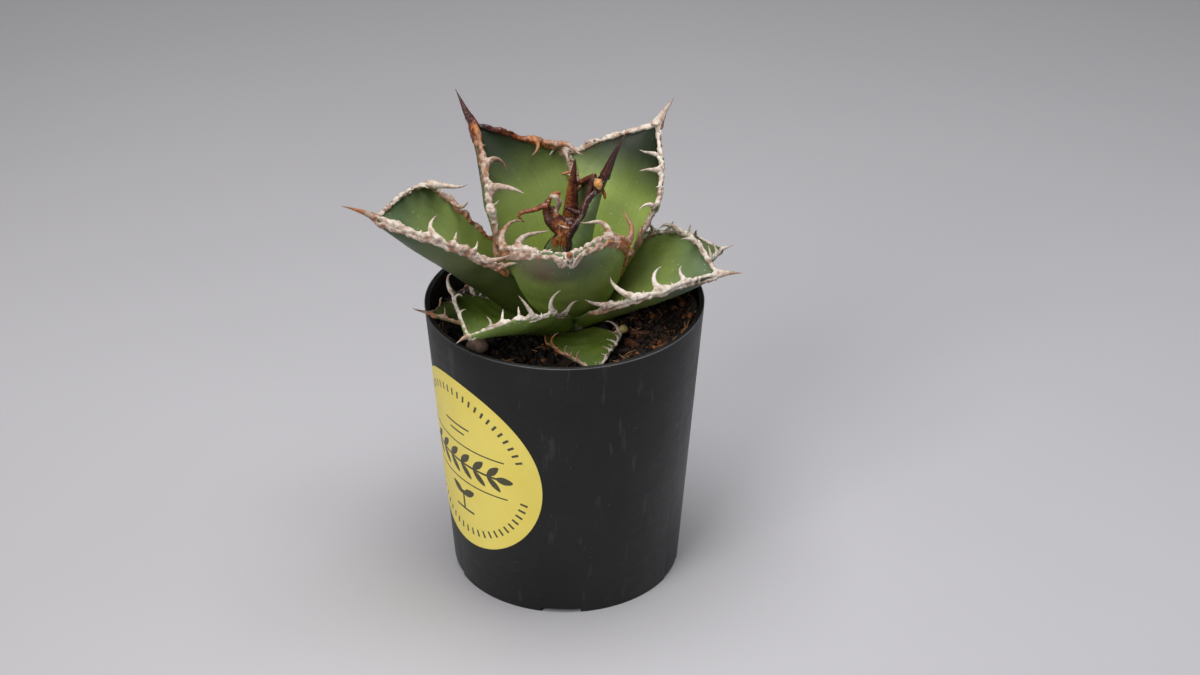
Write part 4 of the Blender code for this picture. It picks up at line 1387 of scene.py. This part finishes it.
def makeStoneMaterial(name, dark, pale, rough):
    material, tree, shader = newMaterial(name)
    place = objectPoint(tree)
    shade = rampOf(tree, noiseOf(tree, place, 420, detail=5), [(0.3, dark), (0.7, pale)])
    pores = specksOf(tree, place, 1500.0, 0.3, 0.35)
    feed(tree, mixOf(tree, times(tree, pores, 0.45), shade, tuple(c * 0.45 for c in dark)),
         shader.inputs["Base Color"])
    feed(tree, plus(tree, times(tree, pores, 0.1), rough), shader.inputs["Roughness"])
    bumpOf(tree, shader, noiseOf(tree, place, 1300, detail=4), 0.7, 0.0005)
    return material


pebble = buildLump("pebble_stone", "pebble", 3.0, 0.10, 1.2 * mm)
pebbleStone = makeStoneMaterial("pebbleStone", (0.12, 0.075, 0.055), (0.27, 0.18, 0.14), 0.8)
pebble.data.materials.append(pebbleStone)
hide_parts("pebble")
pellet = buildLump("fertiliser_bead", "fertiliser_pellet", 8.0, 0.04, 0.8 * mm)
pellet.data.materials.append(makeStoneMaterial("pelletCoat", (0.50, 0.38, 0.12), (0.66, 0.55, 0.24), 0.55))
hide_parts("fertiliser_pellet")

stemLow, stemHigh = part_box("stem")
bpy.ops.mesh.primitive_cylinder_add(vertices=48, radius=stemHigh.x, depth=stemHigh.z - stemLow.z + 4 * mm,
                                    location=(0, 0, (stemLow.z + stemHigh.z) / 2 - 2 * mm))
stem = bpy.context.object
stem.name = "stem_core"
settle(stem)
selectFaces(stem, lambda face: abs(face.normal.z) < 0.5)
bpy.ops.mesh.subdivide(number_cuts=12)
bpy.ops.object.mode_set(mode="OBJECT")
for corner in stem.data.vertices:
    t = (corner.co.z - stemLow.z) / (stemHigh.z - stemLow.z)
    narrow = between((1.0, 0.45), max(0.0, t)) * (1 + 0.05 * wobble(corner.co, 3 * mm))
    corner.co.x *= narrow
    corner.co.y *= narrow
smoothShade(stem, 50)
stem.data.materials.append(makeStoneMaterial("stemSkin", (0.14, 0.15, 0.05), (0.30, 0.30, 0.14), 0.6))
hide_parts("stem")
for smallPiece in (pebble, pellet, stem):
    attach(smallPiece, "root")
print("stem and loose pieces made")


# floor, lights and camera
stagePlan = {
    "floorSize": 6.0,
    "skyColour": (0.80, 0.81, 0.84),
    "skyStrength": 0.07,
    "target": Vector((13.3, 0, 95.9)) * mm,
    "distance": 1.0209,
    "lookDown": 30.1,
    "lens": 81.0,
    # each light's place, aim, size, power and colour
    "lights": {
        "topLight": ((0.02, -0.02, 0.85), (0.02, 0.0, 0.0), (0.6, 0.6), 7.8, (1.0, 0.99, 0.98)),
        "windowLight": ((-0.65, -1.0, 0.9), (0, 0, 0.08), (0.7, 0.7), 11.8, (1.0, 0.98, 0.95)),
        "rightLight": ((1.0, 0.0, 0.55), (0, 0, 0.08), (0.4, 0.6), 1.5, (0.9, 0.95, 1.0)),
    },
}


def makeFloorMaterial():
    material, tree, shader = newMaterial("paperFloor")
    place = objectPoint(tree)
    greys = [(0.3, (0.43, 0.425, 0.45)), (0.7, (0.45, 0.445, 0.47))]
    feed(tree, rampOf(tree, noiseOf(tree, place, 3, detail=3), greys), shader.inputs["Base Color"])
    shader.inputs["Roughness"].default_value = 0.75
    shader.inputs["Specular IOR Level"].default_value = 0.2
    return material


def addSoftLight(name, place, aim, size, power, colour):
    lamp = bpy.data.lights.new(name, "AREA")
    lamp.shape = "RECTANGLE"
    lamp.size, lamp.size_y = size
    lamp.energy = power
    lamp.color = colour
    holder = bpy.data.objects.new(name, lamp)
    holder.location = place
    holder.rotation_euler = (Vector(aim) - Vector(place)).to_track_quat("-Z", "Y").to_euler()
    bpy.context.scene.collection.objects.link(holder)


bpy.ops.mesh.primitive_plane_add(size=stagePlan["floorSize"])
floor = bpy.context.object
floor.name = "floor"
floor.data.materials.append(makeFloorMaterial())

world = bpy.data.worlds.new("softRoom")
world.use_nodes = True
world.node_tree.nodes["Background"].inputs["Color"].default_value = (*stagePlan["skyColour"], 1)
world.node_tree.nodes["Background"].inputs["Strength"].default_value = stagePlan["skyStrength"]
bpy.context.scene.world = world
for lightName, settings in stagePlan["lights"].items():
    addSoftLight(lightName, *settings)

lookDown = math.radians(stagePlan["lookDown"])
cameraData = bpy.data.cameras.new("camera")
cameraData.lens = stagePlan["lens"]
cameraData.sensor_width = 36.0
camera = bpy.data.objects.new("camera", cameraData)
back = Vector((0, -math.cos(lookDown), math.sin(lookDown)))
camera.location = stagePlan["target"] + back * stagePlan["distance"]
camera.rotation_euler = (math.pi / 2 - lookDown, 0, 0)
bpy.context.scene.collection.objects.link(camera)
bpy.context.scene.camera = camera
bpy.context.scene.view_settings.view_transform = "Standard"
print("stage set")
